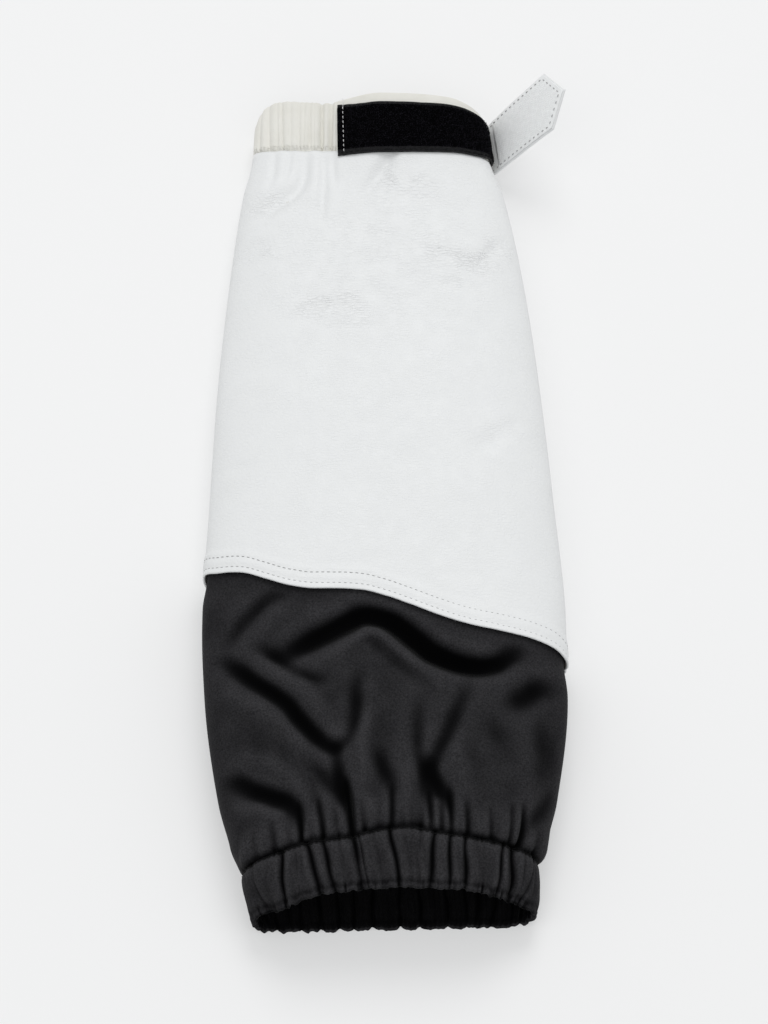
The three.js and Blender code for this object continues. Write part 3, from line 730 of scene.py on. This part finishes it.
def slab_piece(name, node, top, low, bulge, materials, edge_rows=None):
    """A slab between two grids with rows across it and columns along it. Its edge rows and its underside
    have its second material, if there is one."""
    last = (top[-1:] + low[-1:]) / 2 + unit(top[-1:] - top[-2:-1]) * bulge
    first = (top[:1] + low[:1]) / 2 + unit(top[:1] - top[1:2]) * bulge
    slab = np.concatenate([top, last, low[::-1], first])
    rows, columns = slab.shape[:2]
    rows_top = len(top)
    squares = [quads(rows, columns, True, False)]
    triangles = []
    for column in (0, columns - 1):
        ring = np.arange(rows) * columns + column
        r = np.arange(rows_top - 1)
        squares.append(np.stack([ring[r], ring[r + 1], ring[rows - 3 - r], ring[rows - 2 - r]], -1))
        triangles.append((ring[rows_top - 1], ring[rows_top], ring[rows_top + 1]))
        triangles.append((ring[rows - 2], ring[rows - 1], ring[0]))
    squares = np.concatenate(squares)
    seconds = None
    if edge_rows is not None:
        seconds = np.concatenate([edge_rows, np.ones(rows - rows_top, bool)])[squares.min(1) // columns]
    make_piece(name, node, slab, squares, materials, seconds, triangles=np.array(triangles))


def tubes(paths, radii, guides, sides):
    """Closed tubes along paths of the same number of points. Each guide is square to its path's bends."""
    count, steps = paths.shape[:2]
    ahead = unit(np.gradient(paths, axis=1))
    across = unit(np.cross(ahead, guides[:, None, :]))
    out = np.cross(across, ahead)
    angles = np.arange(sides) * 2 * np.pi / sides
    ring = np.cos(angles)[:, None] * across[:, :, None, :] + np.sin(angles)[:, None] * out[:, :, None, :]
    points = paths[:, :, None, :] + ring * np.broadcast_to(radii, (count, steps))[:, :, None, None]
    base = np.arange(count)[:, None, None] * steps * sides
    squares = (base + quads(steps, sides, False, True)[None]).reshape(-1, 4)
    fan = np.array([(0, i + 1, i) for i in range(1, sides - 1)])
    ends = np.concatenate([fan, fan[:, ::-1] + (steps - 1) * sides])
    return points.reshape(-1, 3), squares, (base + ends[None]).reshape(-1, 3)


def stitch_row(points, normals, stitch):
    """Stitches along a path on a surface: each stands a little proud and dips in at its ends."""
    pitch, length, radius, rise = stitch
    run = run_length(points)
    count = max(int(run[-1] / pitch), 1)
    middles = (np.arange(count) + 0.5) * run[-1] / count
    share = np.linspace(0, 1, 6)
    places = middles[:, None] + (share - 0.5)[None, :] * length

    def at(values):
        return np.stack([np.interp(places, run, values[:, i]) for i in range(3)], -1)

    arch = np.sin(np.pi * share) ** 0.5
    height = (rise + STITCH_SINK) * arch - STITCH_SINK
    up = unit(at(normals))
    paths = at(points) + up * height[None, :, None]
    radii = radius * (0.55 + 0.45 * arch)
    return tubes(paths, radii[None, :], up[:, 2], 6)


def thread_piece(name, material, parts):
    """Several runs of thread as one piece, pressed flat where it would go below the floor."""
    starts = np.cumsum([0] + [len(points) for points, _, _ in parts])
    points = np.concatenate([part[0] for part in parts])
    squares, triangles = (
        np.concatenate([part[kind] + start for part, start in zip(parts, starts)]) for kind in (1, 2)
    )
    points[:, 2] = np.maximum(points[:, 2], 0)
    make_piece(name, None, points, squares, [material], triangles=triangles)


# Materials
class Finish:
    """A Principled material and short calls for the nodes in front of it."""

    def __init__(self, name, roughness, specular=0.5, sheen=0.0, sheen_roughness=0.5):
        self.material = bpy.data.materials.new(name)
        self.material.use_nodes = True
        self.tree = self.material.node_tree
        self.shader = self.tree.nodes["Principled BSDF"]
        self.place = self.node("ShaderNodeTexCoord").outputs["Object"]
        self.fill(self.shader, {
            "Roughness": roughness,
            "Specular IOR Level": specular,
            "Sheen Weight": sheen,
            "Sheen Roughness": sheen_roughness,
        })

    def fill(self, node, inputs):
        for label, value in inputs.items():
            if isinstance(value, bpy.types.NodeSocket):
                self.tree.links.new(value, node.inputs[label])
            elif value is not None:
                node.inputs[label].default_value = value

    def node(self, kind, inputs=None, **settings):
        new = self.tree.nodes.new(kind)
        for label, value in settings.items():
            setattr(new, label, value)
        self.fill(new, inputs or {})
        return new

    def stretched(self, scale, turn):
        inputs = {"Vector": self.place, "Scale": scale, "Rotation": turn}
        return self.node("ShaderNodeMapping", inputs).outputs["Vector"]

    def noise(self, scale, detail=2.0, roughness=0.5):
        inputs = {"Vector": self.place, "Scale": scale, "Detail": detail, "Roughness": roughness}
        return self.node("ShaderNodeTexNoise", inputs).outputs["Fac"]

    def bent(self, at, scale, amount):
        swirl = self.node("ShaderNodeTexNoise", {"Vector": self.place, "Scale": scale}).outputs["Color"]
        inputs = {0: swirl, 1: (amount, amount, amount), 2: at}
        return self.node("ShaderNodeVectorMath", inputs, operation="MULTIPLY_ADD").outputs["Vector"]

    def cells(self, scale, feature, at=None):
        inputs = {"Vector": at or self.place, "Scale": scale}
        return self.node("ShaderNodeTexVoronoi", inputs, feature=feature).outputs["Distance"]

    def waves(self, scale, direction, distortion):
        inputs = {"Vector": self.place, "Scale": scale, "Distortion": distortion, "Detail": 1.0}
        return self.node("ShaderNodeTexWave", inputs, bands_direction=direction).outputs["Fac"]

    def weave(self, warp_pitch, weft_pitch, distortion):
        warp = self.waves(wave_scale(warp_pitch), "X", distortion)
        return self.times(warp, self.waves(wave_scale(weft_pitch), "Y", distortion))

    def math(self, operation, a, b):
        return self.node("ShaderNodeMath", {0: a, 1: b}, operation=operation).outputs[0]

    def times(self, a, b):
        return self.math("MULTIPLY", a, b)

    def ranged(self, value, low, high, to_low=0.0, to_high=1.0):
        inputs = {"Value": value, "From Min": low, "From Max": high, "To Min": to_low, "To Max": to_high}
        return self.node("ShaderNodeMapRange", inputs).outputs["Result"]

    def attribute(self, name):
        return self.node("ShaderNodeAttribute", attribute_name=name).outputs["Fac"]

    def mixed(self, share, a, b):
        inputs = {0: share, 6: (*a, 1.0), 7: (*b, 1.0)}
        return self.node("ShaderNodeMix", inputs, data_type="RGBA").outputs[2]

    def bump(self, height, distance, over=None):
        inputs = {"Height": height, "Distance": distance, "Strength": 1.0, "Normal": over}
        return self.node("ShaderNodeBump", inputs).outputs["Normal"]

    def wear(self, color, roughness=None, normal=None):
        self.fill(self.shader, {"Base Color": color, "Roughness": roughness, "Normal": normal})
        return self.material


def wave_scale(pitch):
    """The scale of a wave texture whose bands have a pitch in millimetres."""
    return math.pi * 2 / (20 * pitch * MM)


def grey(value, tint=(1.0, 1.0, 1.0)):
    return tuple(value * part for part in tint)


def leather_finish(name, light, dark, grain=1.0):
    """Smooth leather: faint pebbles, and wavy hair creases where its vertices say it is wrinkled. Its colour
    darkens between the pebbles and along the creases: painted shade.
    """
    f = Finish(name, 0.55)
    pebbles = f.cells(950.0, "SMOOTH_F1")
    wavy = f.bent(f.stretched((0.5, 1.35, 1.0), (0.0, 0.0, 0.1)), 160.0, 0.003)
    lines = f.ranged(f.cells(470.0, "DISTANCE_TO_EDGE", wavy), 0.0, 0.22)
    wrinkled = f.times(f.attribute("wrinkled"), f.ranged(f.noise(110.0, 3.0), 0.32, 0.6, 0.35, 1.0))
    creased = f.math("ADD", f.times(f.math("SUBTRACT", lines, 1.0), wrinkled), 1.0)
    normal = f.bump(f.noise(2600.0, 3.0), 0.00004 * grain)
    normal = f.bump(pebbles, 0.00009 * grain, normal)
    normal = f.bump(creased, 0.00026 * grain, normal)
    mottle_and_crease_shade = f.ranged(f.noise(60.0, 4.0), 0.3, 0.7, 0.8, 1.0)
    # Random mottle, with painted shade between the pebbles and along the creases
    mottle_and_crease_shade = f.times(mottle_and_crease_shade, f.ranged(pebbles, 0.55, 0.1, 0.85, 1.0))
    mottle_and_crease_shade = f.times(mottle_and_crease_shade, f.ranged(creased, 0.0, 1.0, 0.35, 1.0))
    rough = f.ranged(f.noise(140.0, 3.0), 0.3, 0.7, 0.48, 0.66)
    return f.wear(f.mixed(mottle_and_crease_shade, dark, light), rough, normal)


def suede_finish(name, light, dark):
    """The flesh side of the leather: short matt fibres."""
    f = Finish(name, 0.92, sheen=0.15, sheen_roughness=0.6)
    fibres = f.noise(1800.0, 4.0, 0.7)
    color = f.mixed(f.ranged(f.noise(90.0, 5.0, 0.65), 0.3, 0.7), dark, light)
    return f.wear(color, f.ranged(fibres, 0.2, 0.8, 0.85, 0.98), f.bump(fibres, 0.0002))


def knit_finish(name, light, dark, pitch):
    """Brushed knit: fine wales and courses under a soft nap. Its colour carries painted shade in its folds
    and painted light on its ridges, read from a vertex attribute.
    """
    f = Finish(name, 0.9, 0.04, 0.04, 0.4)
    wales = f.waves(wave_scale(pitch), "X", 1.2)
    courses = f.waves(wave_scale(pitch) * 1.25, "Y", 1.4)
    loops = f.math("ADD", f.times(wales, 0.5), f.times(courses, 0.5))
    nap = f.noise(1050.0, 4.0, 0.75)
    patches = f.ranged(f.ranged(f.noise(75.0, 5.0, 0.62), 0.3, 0.7), 0.0, 1.0, 0.82, 1.0)
    fluff = f.times(patches, f.ranged(nap, 0.36, 0.64, 0.42, 1.0))
    # Painted light and shade: the nap's colour times the vertex attribute, lighter on ridges and darker in
    # folds
    color = f.mixed(f.times(fluff, f.attribute("painted_light_and_shade")), dark, light)
    return f.wear(color, f.ranged(nap, 0.2, 0.8, 0.82, 0.97), f.bump(nap, 0.0002, f.bump(loops, 0.00008)))


def band_finish(name, light, dark):
    """Smooth close-woven band."""
    f = Finish(name, 0.72, sheen=0.1)
    lint = f.noise(900.0, 4.0, 0.6)
    color = f.mixed(f.ranged(f.noise(70.0, 4.0), 0.25, 0.75), dark, light)
    normal = f.bump(lint, 0.00012, f.bump(f.weave(0.55, 0.7, 0.3), 0.00008))
    return f.wear(color, f.ranged(lint, 0.2, 0.8, 0.66, 0.8), normal)


def pile_finish(name, light, dark, sheen):
    """Matt loops and the ground between them."""
    f = Finish(name, 0.9, 0.03, sheen)
    tufts = f.noise(520.0, 4.0, 0.75)
    color = f.mixed(f.ranged(tufts, 0.4, 0.66), dark, light)
    return f.wear(color, f.ranged(tufts, 0.2, 0.8, 0.82, 0.97), f.bump(tufts, 0.0005))


def hook_finish(name, light, dark):
    """Moulded nylon of the hooks."""
    f = Finish(name, 0.5)
    cast = f.noise(420.0, 3.0, 0.6)
    color = f.mixed(f.ranged(cast, 0.3, 0.7), dark, light)
    return f.wear(color, f.ranged(cast, 0.2, 0.8, 0.45, 0.62), f.bump(f.noise(2400.0), 0.00005))


def tape_edge_finish(name, light, dark):
    """Plain weave of a tape's selvedge."""
    f = Finish(name, 0.8)
    weave = f.weave(0.5, 0.6, 0.2)
    color = f.mixed(f.ranged(weave, 0.0, 0.8), dark, light)
    return f.wear(color, f.ranged(weave, 0.0, 1.0, 0.9, 0.7), f.bump(weave, 0.00015))


def thread_finish(name, light, dark, sheen=0.1):
    """Twisted sewing thread."""
    f = Finish(name, 0.6, 0.15, sheen)
    twist = f.waves(900.0, "DIAGONAL", 0.5)
    color = f.mixed(f.ranged(f.noise(260.0), 0.3, 0.7), dark, light)
    return f.wear(color, f.ranged(twist, 0.0, 1.0, 0.7, 0.5), f.bump(twist, 0.0001))


COOL = (0.988, 1.0, 1.0)
KNIT_COLORS = ((0.053, 0.052, 0.0555), (0.0004, 0.0004, 0.0006))
WHITE_LEATHER = leather_finish("white_leather_grain", grey(0.82, COOL), grey(0.745, COOL))
LEATHER_FLESH = suede_finish("leather_flesh_side", (0.72, 0.70, 0.65), (0.62, 0.60, 0.55))
BLACK_KNIT = knit_finish("black_brushed_knit", *KNIT_COLORS, 1.1)
CUFF_KNIT = knit_finish("black_cuff_knit", *KNIT_COLORS, 1.0)
CREAM_BAND = band_finish("cream_band_weave", (0.80, 0.79, 0.74), (0.74, 0.73, 0.67))
LOOP_GROUND = pile_finish("black_loop_ground", (0.0012, 0.0011, 0.0018), (0.0002, 0.0002, 0.0004), 0.0)
LOOP_PILE = pile_finish("black_loop_pile", (0.03, 0.0285, 0.036), (0.0006, 0.0006, 0.0012), 0.01)
LOOP_EDGE = tape_edge_finish("black_tape_edge", (0.012, 0.0117, 0.013), (0.003, 0.003, 0.0036))
TAB_LEATHER = leather_finish("tab_leather_grain", grey(0.8, COOL), grey(0.71, COOL), 0.9)
HOOK_TAPE = hook_finish("grey_hook_tape", grey(0.93, COOL), grey(0.86, COOL))
GREY_THREAD = thread_finish("grey_thread", grey(0.45), grey(0.34))
DARK_THREAD = thread_finish("tab_thread", grey(0.46), grey(0.36))
WHITE_THREAD = thread_finish("white_thread", grey(0.8), grey(0.66))
BLACK_THREAD = thread_finish("black_thread", grey(0.006), grey(0.002), 0.0)
CREAM_THREAD = thread_finish("cream_thread", (0.78, 0.765, 0.71), (0.7, 0.685, 0.63))


# The sleeve's tubes, each with its counts of columns over the top and underneath, and of outer and inner rows
def leather_piece():
    turns = even_turns(200, 76)
    near, far = hem_line(turns), wrist_seam(turns) - GAP / 2
    grid, _, y, inside = tube_grid(turns, near, far, 190, 30, leather_relief, LEATHER_WALL, False)
    wrinkled = np.full(y.shape, GRAIN_BASE)
    for x_middle, y_middle, half_x, half_y, strength in LEATHER_PATCHES:
        spot = bell((grid[..., 0] - x_middle) / half_x, 1) * bell((y - y_middle) / half_y, 1)
        wrinkled = np.maximum(wrinkled, strength * spot * (grid[..., 2] > side_height(y)))
    look = ([WHITE_LEATHER, LEATHER_FLESH], {"wrinkled": wrinkled})
    tube_piece("white_leather_tube", "leather_body", "white_leather", grid, inside, *look)


def fabric_piece():
    turns = even_turns(244, 60)
    near, far = gather_line(turns) - SEAM_TUCK, hem_line(turns) + HEM_TUCK
    grid, turn, y, inside = tube_grid(turns, near, far, 180, 90, fabric_relief, FABRIC_WALL, False)
    relief = fabric_relief(turn, y)
    stands = hollow(relief, 40)
    # Painted light and shade for the colour: lighter on ridges, darker in hollows, in deep folds and at the
    # cuff's seam
    painted_light_and_shade = 0.57 * ease(-2.4, 0.2, stands) + 0.36 * ease(-0.4, 1.2, stands)
    painted_light_and_shade *= 0.3 + 0.7 * ease(-2.4, 0.6, hollow(relief, 220))
    painted_light_and_shade *= ease(-6.5, -0.5, fabric_fold_depth(turn, y))
    painted_light_and_shade *= 1 - 0.8 * bell(y - gather_line(turn), 1.5)
    look = ([BLACK_KNIT], {"painted_light_and_shade": painted_light_and_shade})
    tube_piece("black_fabric_tube", "fabric_panel", "black_fabric", grid, inside, *look)


def cuff_ribs(turn, y):
    here = cuff_length(turn)
    return 0.45 * np.sin(2 * np.pi * here / CUFF_RIB_PITCH + 1.5 * cloud(here / 9, y / 20, 34)) - 0.25


def cuff_piece():
    turns = even_turns(430, 300, CUFF_MIDDLE_Y)
    near, far = cuff_lip(turns), gather_line(turns) - GAP / 2
    grid, turn, y, inside = tube_grid(turns, near, far, 34, 20, cuff_relief, CUFF_WALL, True, cuff_ribs)
    stands = hollow(cuff_relief(turn, y), 30)
    # Painted light and shade for the colour: darker in hollows and creases, at the seam and along the lip
    painted_light_and_shade = 0.5 * ease(-0.9, 0.1, stands) + 0.5 * ease(-0.25, 0.7, stands)
    painted_light_and_shade *= ease(2.2, 0.2, cuff_pull(turn, share_of(lip_line(turn), gather_line(turn), y)))
    painted_light_and_shade *= 1 - 0.85 * bell(y - gather_line(turn), 1.3)
    painted_light_and_shade *= 1 - 0.3 * bell(y - cuff_lip(turn) - 2.5, 2.5)
    # Painted shade on the inner face, inside the cuff's opening
    painted_light_and_shade[inside > 0] *= 0.2
    look = ([CUFF_KNIT], {"painted_light_and_shade": painted_light_and_shade})
    tube_piece("gathered_cuff", "elastic_cuff", "cuff_fabric", grid, inside, *look)


def band_piece():
    turns = even_turns(330, 130, BAND_MIDDLE_Y)
    near, far = wrist_seam(turns) - SEAM_TUCK, wrist_end(turns)
    grid, _, _, inside = tube_grid(turns, near, far, 44, 12, band_relief, BAND_WALL, True)
    tube_piece("cream_wrist_band", "wrist_band", "cream_band", grid, inside, [CREAM_BAND])


# The loop strip
STRIP_START = float(turn_at_x(STRIP_LEFT_X, WRIST_SEAM_Y))
strip_fine = np.linspace(STRIP_END, STRIP_START, 500)
strip_run = run_length(plain_skin(strip_fine, STRIP_MIDDLE_Y))
STRIP_LENGTH = float(strip_run[-1])
STRIP_WIDTH = STRIP_FAR_Y - STRIP_NEAR_Y
STRIP_STITCH_AT = STRIP_LENGTH - STRIP_STITCH_IN


def strip_edges(turn):
    right = STRIP_TILT * ease(0.36, 0.22, turn)
    near = STRIP_NEAR_Y + right - STRIP_TILT * ease(0.3, 0.5, turn) + STRIP_DRAW_IN * ease(0.2, 0, turn)
    far = STRIP_FAR_Y + right + STRIP_END_RISE * ease(0.5, 0.63, turn) - STRIP_DRAW_IN * ease(0.3, 0, turn)
    return near, far


def strip_surface(length, share, height):
    """A point of the strip and its normal: length along it from its end at the right edge, share across it
    from its near to its far edge, and height."""
    turn = np.interp(length, strip_run, strip_fine)
    near, far = strip_edges(turn)
    y = near + (far - near) * share
    return lifted(turn, y, np.broadcast_to(height, turn.shape)), skin_normal(turn, y)


def selvedge_drop(from_edge):
    return 0.5 * ease(SELVEDGE + 0.3, SELVEDGE - 0.4, from_edge)


def strip_piece():
    near, far = [0, 0.008, 0.02, 0.035], [0.965, 0.98, 0.992, 1]
    share = np.concatenate([near, np.linspace(0.055, 0.945, 22), far])[:, None]
    share, length = np.broadcast_arrays(share, np.linspace(0, STRIP_LENGTH, 150)[None, :])
    from_edge = np.minimum(share, 1 - share) * STRIP_WIDTH
    from_end = np.minimum(length, STRIP_LENGTH - length)
    ground = STRIP_HIGH - selvedge_drop(from_edge) - 0.4 * ease(1.0, 0.0, from_end)
    ground = ground - 0.45 * bell(STRIP_STITCH_AT - length, 0.8) + 0.12 * cloud(length / 3.0, share * 9, 51)
    top, _ = strip_surface(length, share, ground)
    low, _ = strip_surface(length, share, STRIP_LOW)
    materials = [LOOP_GROUND, LOOP_EDGE]
    edge_rows = from_edge[:, 0] < SELVEDGE
    slab_piece("loop_strip_ground", "loop_strip", top, low, 0.25, materials, edge_rows)


def pile_piece():
    """The strip's loops: thousands of small arches, each turned its own way."""
    rng = np.random.default_rng(61)
    length, across = np.meshgrid(
        np.arange(0.7, STRIP_LENGTH - 0.5, PILE_PITCH), np.arange(0.9, STRIP_WIDTH - 0.8, PILE_PITCH)
    )
    length = length.ravel() + rng.uniform(-PILE_JITTER, PILE_JITTER, length.size)
    across = across.ravel() + rng.uniform(-PILE_JITTER, PILE_JITTER, across.size)
    clear = np.abs(STRIP_STITCH_AT - length) > 0.55
    length, across = length[clear], across[clear]
    ground = STRIP_HIGH - 0.1 - selvedge_drop(np.minimum(across, STRIP_WIDTH - across))
    feet, up = strip_surface(length, across / STRIP_WIDTH, ground)
    heading = rng.uniform(0, 2 * np.pi, len(length))
    flat = np.stack([np.cos(heading), np.sin(heading), np.zeros_like(heading)], -1)
    side = unit(flat - up * np.sum(flat * up, -1, keepdims=True))
    lean = np.cross(up, side) * rng.uniform(-0.35, 0.35, (len(length), 1))
    angles = np.linspace(0, np.pi, 5)
    reach = rng.uniform(0.26, 0.4, (len(length), 1))
    rise = rng.uniform(0.5, 0.95, (len(length), 1))
    paths = feet[:, None, :] - side[:, None, :] * (reach * np.cos(angles))[..., None]
    paths = paths + (up + lean)[:, None, :] * (rise * np.sin(angles))[..., None]
    points, squares, triangles = tubes(paths, PILE_RADIUS, np.cross(side, up), 3)
    make_piece("loop_strip_pile", None, points, squares, [LOOP_PILE], triangles=triangles)


def strip_threads():
    """The white row across the strip's left end, with the tail of its thread."""
    count = 200
    at = np.full(count, STRIP_STITCH_AT)
    end_row = strip_surface(at, np.linspace(0.04, 0.97, count), STRIP_HIGH - 0.05)
    tail = np.array([(0.0, -1.0, 0.2), (0.1, 0.8, 0.5), (0.4, 2.2, 0.1), (0.3, 3.4, -0.6), (-0.3, 4.4, -1.0)])
    root, _ = strip_surface(at[:1], np.array([0.985]), STRIP_HIGH - 0.2)
    loose = tubes((root[0] + tail)[None], 0.15, np.array([[1.0, 0.1, 0.0]]), 6)
    parts = [stitch_row(*end_row, STRIP_END_STITCH), loose]
    thread_piece("strip_end_stitches", WHITE_THREAD, parts)


def strip_edge_threads():
    along = np.linspace(1.5, STRIP_LENGTH - 1.0, 600)
    rows = []
    for share in (0.032, 0.968):
        path = strip_surface(along, np.full(len(along), share), STRIP_HIGH - 0.5)
        rows.append(stitch_row(*path, STRIP_EDGE_STITCH))
    thread_piece("strip_edge_stitches", BLACK_THREAD, rows)


# The closing tab: length from its bend's start, distance across it and height over the middle of its leather
def tab_place(length, across, height):
    slope = np.clip(length / TAB_BEND_RADIUS, 0, TAB_RISE)
    straight = np.minimum(length, 0) + np.maximum(length - TAB_BEND, 0)
    blade = np.clip((length - TAB_BEND) / (TAB_BLADE + TAB_POINT), 0, 1)
    taper = TAB_TAPER * np.clip(1 - (length - TAB_BEND) / TAB_BLADE, 0, 1)
    across = across - taper * (across / TAB_WIDTH + 0.5)
    height = height + 0.7 * np.sin(np.pi * blade) + 0.25 * np.sin(2.2 * np.pi * blade) * across / TAB_WIDTH
    level, steep = np.cos(slope), np.sin(slope)
    x = TAB_BEND_RADIUS * steep + straight * level - height * steep
    z = TAB_WALL / 2 + TAB_BEND_RADIUS * (1 - level) + straight * steep + height * level
    ahead, aside = np.cos(TAB_TURN), np.sin(TAB_TURN)
    turned = [x * ahead - across * aside, x * aside + across * ahead, z]
    return np.stack(np.broadcast_arrays(*turned), -1) + TAB_FOOT


def tab_inset(length, across):
    """Distance in from the tab's outline."""
    from_side = TAB_WIDTH / 2 - np.abs(across)
    tip_line = TAB_END + TAB_POINT * (1 - np.abs(across) / (TAB_WIDTH / 2))
    return np.minimum(from_side, (tip_line - length) * math.cos(TAB_TIP_SLOPE))


def tab_slab(name, node, slot, spans, point_columns, margin, low, high, material, relief):
    """A layer of the tab, inside a margin. The spans before its point are start, stop and columns."""
    lengths = [np.linspace(*span)[:-1] for span in spans]
    half = TAB_WIDTH / 2 - margin
    point = TAB_POINT * half * 2 / TAB_WIDTH
    lengths = np.concatenate([*lengths, np.linspace(TAB_END, TAB_END + point, point_columns)])
    half = np.where(lengths <= TAB_END, half, np.maximum(half * (1 - (lengths - TAB_END) / point), 0.4))
    across = TAB_SHARES[:, None] * half[None, :]
    thick = (high - low) / 2
    to_edge = 1 - np.clip((half[None, :] - np.abs(across)) / thick, 0, 1)
    rounded = thick * (1 - np.sqrt(1 - to_edge ** 2)) * 0.9
    shape = relief(np.broadcast_to(lengths, across.shape), across)
    top = tab_place(lengths[None, :], across, high - rounded + shape)
    bottom = tab_place(lengths[None, :], across, low + rounded - shape)
    slab_piece(name, node, top, bottom, 0.02, [material])


def tab_groove(length, across):
    groove = -0.08 * bell(tab_inset(length, across) - TAB_STITCH_INSET, 0.7)
    return groove + 0.05 * cloud(length / 4, across / 4, 71)


def hook_ground_relief(length, across):
    """The patch is thin where it starts, and its stitches press it down a little."""
    start = ease(HOOK_FROM + 7.0, HOOK_FROM, length)
    return -0.2 * start - 0.04 * bell(tab_inset(length, across) - TAB_STITCH_INSET, 0.6)


def tab_piece():
    spans = [(-TAB_ROOT, 0, 8), (0, TAB_BEND, 14), (TAB_BEND, TAB_END, 60)]
    layer = (spans, 20, 0.0, -TAB_WALL / 2, TAB_WALL / 2)
    tab_slab("closing_tab_leather", "closing_tab", "tab_leather", *layer, TAB_LEATHER, tab_groove)


def hook_ground_piece():
    layer = ([(HOOK_FROM, TAB_END, 40)], 14, HOOK_MARGIN, HOOK_LOW, HOOK_HIGH)
    tab_slab("hook_patch_ground", "hook_patch", "hook_tape", *layer, HOOK_TAPE, hook_ground_relief)


def hooks_piece():
    """Rows of small moulded hooks inside the stitched border, alternate rows facing the other way."""
    length, across = np.meshgrid(
        np.arange(HOOK_FROM + 2.0, TAB_END + TAB_POINT, HOOK_ROW_PITCH),
        np.arange(-TAB_WIDTH / 2 + 4, TAB_WIDTH / 2 - 3.9, HOOK_PITCH),
    )
    way = np.where(np.arange(length.shape[1]) % 2, 1.0, -1.0)[None, :] * np.ones_like(length)
    inside = tab_inset(length, across) > TAB_STITCH_INSET + 1.0
    length, across, way = length[inside], across[inside], way[inside]
    spots = [tab_place(length, across + way * step, HOOK_HIGH + rise) for step, rise in HOOK_PROFILE]
    along = unit(tab_place(length + 0.5, across, HOOK_HIGH) - tab_place(length - 0.5, across, HOOK_HIGH))
    points, squares, triangles = tubes(np.stack(spots, 1), HOOK_RADII, along, 4)
    make_piece("hook_patch_hooks", None, points, squares, [HOOK_TAPE], triangles=triangles)


def tab_threads():
    """One row inside the tab's outline, on both faces."""
    half = TAB_WIDTH / 2 - TAB_STITCH_INSET
    first = TAB_BEND * 0.6
    tip = TAB_END + TAB_POINT - TAB_STITCH_INSET / math.cos(TAB_TIP_SLOPE)
    corner = tip - half * math.tan(TAB_TIP_SLOPE)
    corners = np.array([(first, -half), (corner, -half), (tip, 0.0), (corner, half), (first, half)])
    t = np.linspace(0, 1, 160)
    rows = []
    for side in (1, -1):
        for start, stop in zip(corners, corners[1:]):
            length, across = (start[i] + (stop[i] - start[i]) * t for i in (0, 1))
            on_patch = (HOOK_HIGH - TAB_WALL / 2) * ease(HOOK_FROM - 1.5, HOOK_FROM, length)
            surface = TAB_WALL / 2 - 0.15 + (on_patch + 0.12 * (on_patch > 0) if side > 0 else 0.0)
            path = tab_place(length, across, surface * side)
            normals = unit(tab_place(length, across, side * 2.0) - tab_place(length, across, side * 1.0))
            rows.append(stitch_row(path, normals, TAB_STITCH))
    thread_piece("tab_stitches", DARK_THREAD, rows)


def seam_threads(name, slot, material, stitch, turns, line, offsets, relief):
    """Stitches beside a seam, with a row at each offset along the sleeve."""
    rows = []
    for offset in offsets:
        y = line(turns) + offset
        rows.append(stitch_row(lifted(turns, y, relief(turns, y)), skin_normal(turns, y), stitch))
    thread_piece(name, material, rows)


leather_piece()
fabric_piece()
cuff_piece()
band_piece()
strip_piece()
pile_piece()
tab_piece()
hook_ground_piece()
hooks_piece()
for row in (
    ("hem_stitches", "white_leather", GREY_THREAD, HEM_STITCH, np.linspace(0, 2, 4000), hem_line, HEM_ROWS,
     leather_relief),
    ("cuff_stitches", "cuff_fabric", BLACK_THREAD, CUFF_STITCH, np.linspace(0, 2, 6000), gather_line, (-1.5,),
     cuff_relief),
    ("band_stitches", "cream_band", CREAM_THREAD, BAND_STITCH, np.linspace(STRIP_START, 2 - 0.02, 4000),
     wrist_seam, (1.9,), band_relief),
):
    seam_threads(*row)
strip_threads()
strip_edge_threads()
tab_threads()

# The floor, the lights and the camera, in metres and watts
FLOOR_REACH = 12.0
FLOOR_LEVEL = -0.0003
FLOOR_CORNERS = ((-1, -1), (1, -1), (1, 1), (-1, 1))
floor_mesh = bpy.data.meshes.new("floor")
floor_points = [(x * FLOOR_REACH, y * FLOOR_REACH, FLOOR_LEVEL) for x, y in FLOOR_CORNERS]
floor_mesh.from_pydata(floor_points, [], [(0, 1, 2, 3)])
floor = put("floor", floor_mesh)
paper = Finish("pale_paper", 0.9, 0.2)
paper.fill(paper.shader, {"Emission Color": (0.995, 1.0, 1.0, 1.0), "Emission Strength": 0.40})
floor_mesh.materials.append(paper.wear(paper.mixed(paper.noise(5.0), grey(0.49), grey(0.5))))

world = bpy.data.worlds.new("studio")
bpy.context.scene.world = world
world.use_nodes = True
sky = world.node_tree.nodes["Background"]
sky.inputs["Color"].default_value = (0.98, 0.99, 1.0, 1.0)
sky.inputs["Strength"].default_value = 0.62


def point_at(thing, place, sight):
    thing.location = place
    thing.rotation_euler = sight.to_track_quat("-Z", "Y").to_euler()


def softbox(name, place, size, power):
    """A round lamp that points at the origin."""
    lamp = bpy.data.lights.new(name, "AREA")
    lamp.shape = "DISK"
    lamp.size = size
    lamp.energy = power
    point_at(put(name, lamp), place, -Vector(place))


softbox("far_softbox", (0.36, 2.4, 3.2), 2.2, 54.0)
softbox("near_softbox", (-0.5, -0.7, 2.2), 2.4, 9.0)

IMAGE_HEIGHT_PX = 1024
FOCAL_PX = 4875.0
CAMERA_RISE = math.radians(64.5)
CAMERA_DISTANCE = 2.5
CAMERA_AIM = Vector((-0.00176, -0.0111, 0.020))
lens = bpy.data.cameras.new("photo_camera")
lens.sensor_fit = "VERTICAL"
lens.sensor_height = 36.0
lens.lens = FOCAL_PX * lens.sensor_height / IMAGE_HEIGHT_PX
sight = Vector((0.0, math.cos(CAMERA_RISE), -math.sin(CAMERA_RISE)))
camera = put("photo_camera", lens)
point_at(camera, CAMERA_AIM - CAMERA_DISTANCE * sight, sight)
bpy.context.scene.camera = camera

bpy.context.scene.view_settings.view_transform = "Standard"
